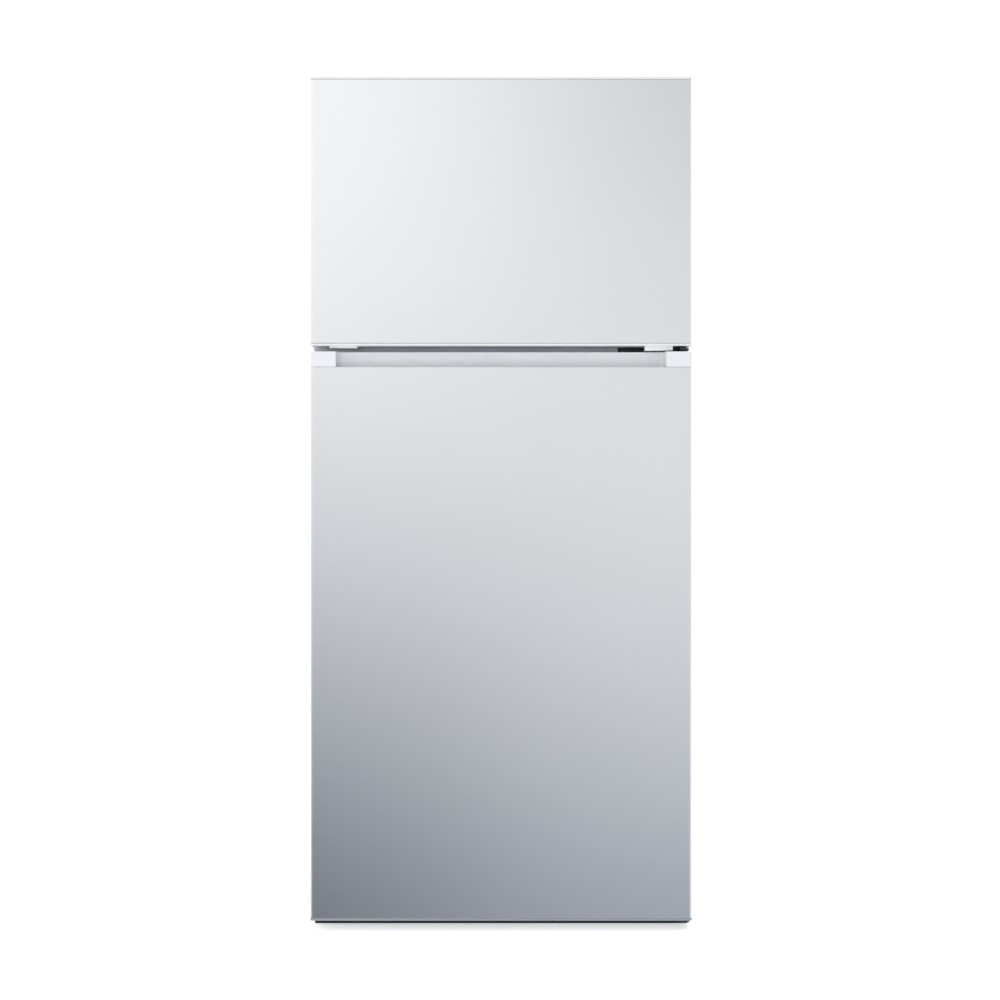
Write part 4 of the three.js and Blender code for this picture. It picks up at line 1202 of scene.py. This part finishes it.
print(fan().name)

# %% [markdown]
# ## The fridge's inside
#
# Two glass shelves in white rims stand over a pair of clear crisper drawers with a glass lid of their own. A
# duct on the back wall lets cold air in, and a housing under the ceiling holds the lamp, the temperature knob
# and the airflow slider. The small box near the front is the lamp's door switch.

# %% Shelves
def shelf_rim(node, name, bar):
    """A rim with a rabbet for the glass, drawn as rectangles carried round it and bridged."""
    low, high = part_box(node)
    level = (low.z + high.z) / 2
    shape = bmesh.new()
    profile = [(0, low.z), (0, high.z), (6 * MM, high.z), (6 * MM, level), (14 * MM, level), (14 * MM, low.z)]
    bridge(shape, [rectangle(shape, low, high, inset, z, axis=2) for inset, z in profile], closed=True)
    bmesh.ops.recalc_face_normals(shape, faces=shape.faces)
    if bar:
        rounded_block(shape, (-8 * MM, low.y + 13 * MM, low.z), (8 * MM, high.y - 13 * MM, level), 1.5 * MM)
    return new_piece(name, shape, trim_polystyrene, "cabinet", "liner_plastic", [node], edge=1.6)


for name in ("shelf_frame_1", "shelf_frame_2", "crisper_cover_frame"):
    print(shelf_rim(name, f"{name}_moulding", name.startswith("crisper")).name)
for name in ("shelf_glass_1", "shelf_glass_2", "crisper_cover_glass"):
    glass_sheet(name, f"{name}_sheet", radius=3)

# %% [markdown]
# A crisper is a clear drawer, drafted towards its foot, with a thicker front that has a lip to pull. The
# lip is moulded with the front, and its edges are round to the fingers.

# %% Crisper drawers
def crisper(side):
    node = f"crisper_drawer_{side}"
    low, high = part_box(node)
    body = f"{node}_body"
    shape = bmesh.new()
    block(shape, (low.x + 1 * MM, low.y + 4 * MM, low.z), (high.x - 1 * MM, high.y, high.z - 8 * MM))
    bmesh.ops.delete(shape, geom=faces_towards(shape, (0, 0, 1)), context="FACES")
    middle = (low.x + high.x) / 2
    for vert in [v for v in shape.verts if v.co.z < low.z + MM]:
        vert.co.x = middle + (vert.co.x - middle) * 0.965
    round_edges(shape, [e for e in shape.edges if abs(direction_of(e).z) > 0.9], 12 * MM, 5)
    foot = edges_sharper_than(shape, 30, lambda e: max(v.co.z for v in e.verts) < low.z + MM)
    round_edges(shape, foot, 8 * MM, 4)
    new_piece(f"{node}_tray", shape, clear_polystyrene, body, "clear_plastic", [node], sheet=2.2, edge=0.5)
    face = bmesh.new()
    rounded_block(face, (low.x, low.y, low.z), (high.x, low.y + 4 * MM, high.z), 1.5 * MM)
    rounded_block(face, (low.x + 20 * MM, low.y + 0.5 * MM, high.z - 4 * MM),
                  (high.x - 20 * MM, low.y + 20 * MM, high.z - 0.4 * MM), 1.6 * MM)
    new_piece(f"{node}_front", face, clear_polystyrene, body, "clear_plastic")
    band = bmesh.new()
    rounded_block(band, (low.x + 22 * MM, low.y - 0.6 * MM, high.z - 17 * MM),
                  (high.x - 22 * MM, low.y + 0.4 * MM, high.z - 7 * MM), 0.4 * MM, segments=2)
    return new_piece(f"{node}_band", band, trim_polystyrene, body, "liner_plastic")


for side in ("left", "right"):
    print(crisper(side).name)

# %% Duct, control housing, lens and door switch
refined("air_duct_cover", "air_duct_cover_moulding", trim_polystyrene, "liner_plastic", 2.0)
refined("control_housing", "control_housing_moulding", trim_polystyrene, "liner_plastic", 1.5)
refined("door_switch_housing", "door_switch_housing_moulding", trim_polystyrene, "liner_plastic", 1.0)


def lamp_lens():
    """A frosted lens with ribs that run across it to spread the light."""
    low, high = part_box("lamp_lens")
    shape = bmesh.new()
    block(shape, low, high)
    round_edges(shape, edges_along(shape.verts, 2), 10 * MM, 5)
    round_edges(shape, edges_sharper_than(shape, 60, lambda e: e.verts[0].co.z < low.z + MM), 3 * MM, 3)
    for i in range(13):
        x = low.x + 0.012 + i * (high.x - low.x - 0.024) / 12
        rounded_block(shape, (x - 2 * MM, low.y + 8 * MM, low.z - 0.8 * MM),
                      (x + 2 * MM, high.y - 8 * MM, low.z + MM), 0.7 * MM, segments=2)
    return new_piece("lamp_lens_moulding", shape, frosted_polystyrene, "cabinet", "clear_plastic",
                     ["lamp_lens"])


print(lamp_lens().name)

# %% [markdown]
# The knob is a dial with a grip across it and a coloured pointer, over a ring of marks on the housing. The
# marks grow from short to long, which says colder without a word. Knob, slider and switch plunger each ride
# on a body of their own, so that they can be turned, slid and pressed.

# %% Controls
marking_blue = surface(
    "printed_blue_mark", ("#3f6f9f", "#4a7cad"), (0.35, 0.45), 0.5, 0.005, cloud=20, IOR=1.5)
STEM_REACH = 7 * MM
KNOB_DIAL = [(0, -0.3), (16.4, -0.3), (17, -0.8), (16.6, -6), (15.4, -13.6), (14.2, -15), (0, -15)]
KNOB_STEM = [(0, -1), (4, -1), (4, 6.6), (3.4, 7), (0, 7)]
KNOB_MARKS = 7


def knob():
    node = "temperature_knob"
    low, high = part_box(node)
    centre = between(low, high, y=high.y - STEM_REACH)
    shape = bmesh.new()
    turned(shape, KNOB_DIAL, centre, ALONG_Y, 48)
    turned(shape, KNOB_STEM, centre, ALONG_Y, 20)
    block_about(shape, centre, (-3, -19, -15), (3, -14, 15), 1.4 * MM)
    new_piece("temperature_knob_dial", shape, cap_abs, f"{node}_body", "cap_plastic", [node])
    mark = bmesh.new()
    block_about(mark, centre, (-0.9, -19.15, 4), (0.9, -18.6, 13.4), 0.2 * MM, segments=1)
    new_piece("temperature_knob_pointer", mark, marking_blue, f"{node}_body", "cap_plastic")
    marks = bmesh.new()
    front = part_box("control_housing")[0].y
    for i in range(KNOB_MARKS):
        turn = Matrix.Rotation(math.radians(i * 45), 4, "Y")
        made = block(marks, (-0.5 * MM, -0.12 * MM, 17.6 * MM), (0.5 * MM, 0.05 * MM, (18.1 + 0.06 * i) * MM))
        bmesh.ops.transform(marks, matrix=Matrix.Translation((centre.x, front, centre.z)) @ turn, verts=made)
    return new_piece("temperature_marks", marks, marking_blue, "cabinet", "liner_plastic")


def slider():
    node = "airflow_slider"
    low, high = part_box(node)
    centre = between(low, high, y=high.y - STEM_REACH)
    shape = bmesh.new()
    block_about(shape, centre, (-6, -4, -9), (6, -0.3, 9), MM)
    for x in (-3, 0, 3):
        block_about(shape, centre, (x - 0.8, -7, -7), (x + 0.8, -3.5, 7), 0.6 * MM, segments=2)
    block(shape, centre + Vector((-4, -1, -2.5)) * MM, centre + Vector((4, 7, 2.5)) * MM)
    return new_piece("airflow_slider_button", shape, cap_abs, f"{node}_body", "cap_plastic", [node])


def plunger():
    node = "door_switch_plunger"
    low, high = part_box(node)
    length = (high.y - low.y) / MM
    shape = bmesh.new()
    button = [(0, 0), (2.2, 0.1), (3.4, 0.9), (4, 2.4), (4, length), (0, length)]
    turned(shape, button, between(low, high, y=low.y), ALONG_Y, 28)
    return new_piece("door_switch_button", shape, cap_abs, f"{node}_body", "cap_plastic", [node])


print(knob().name, slider().name, plunger().name)
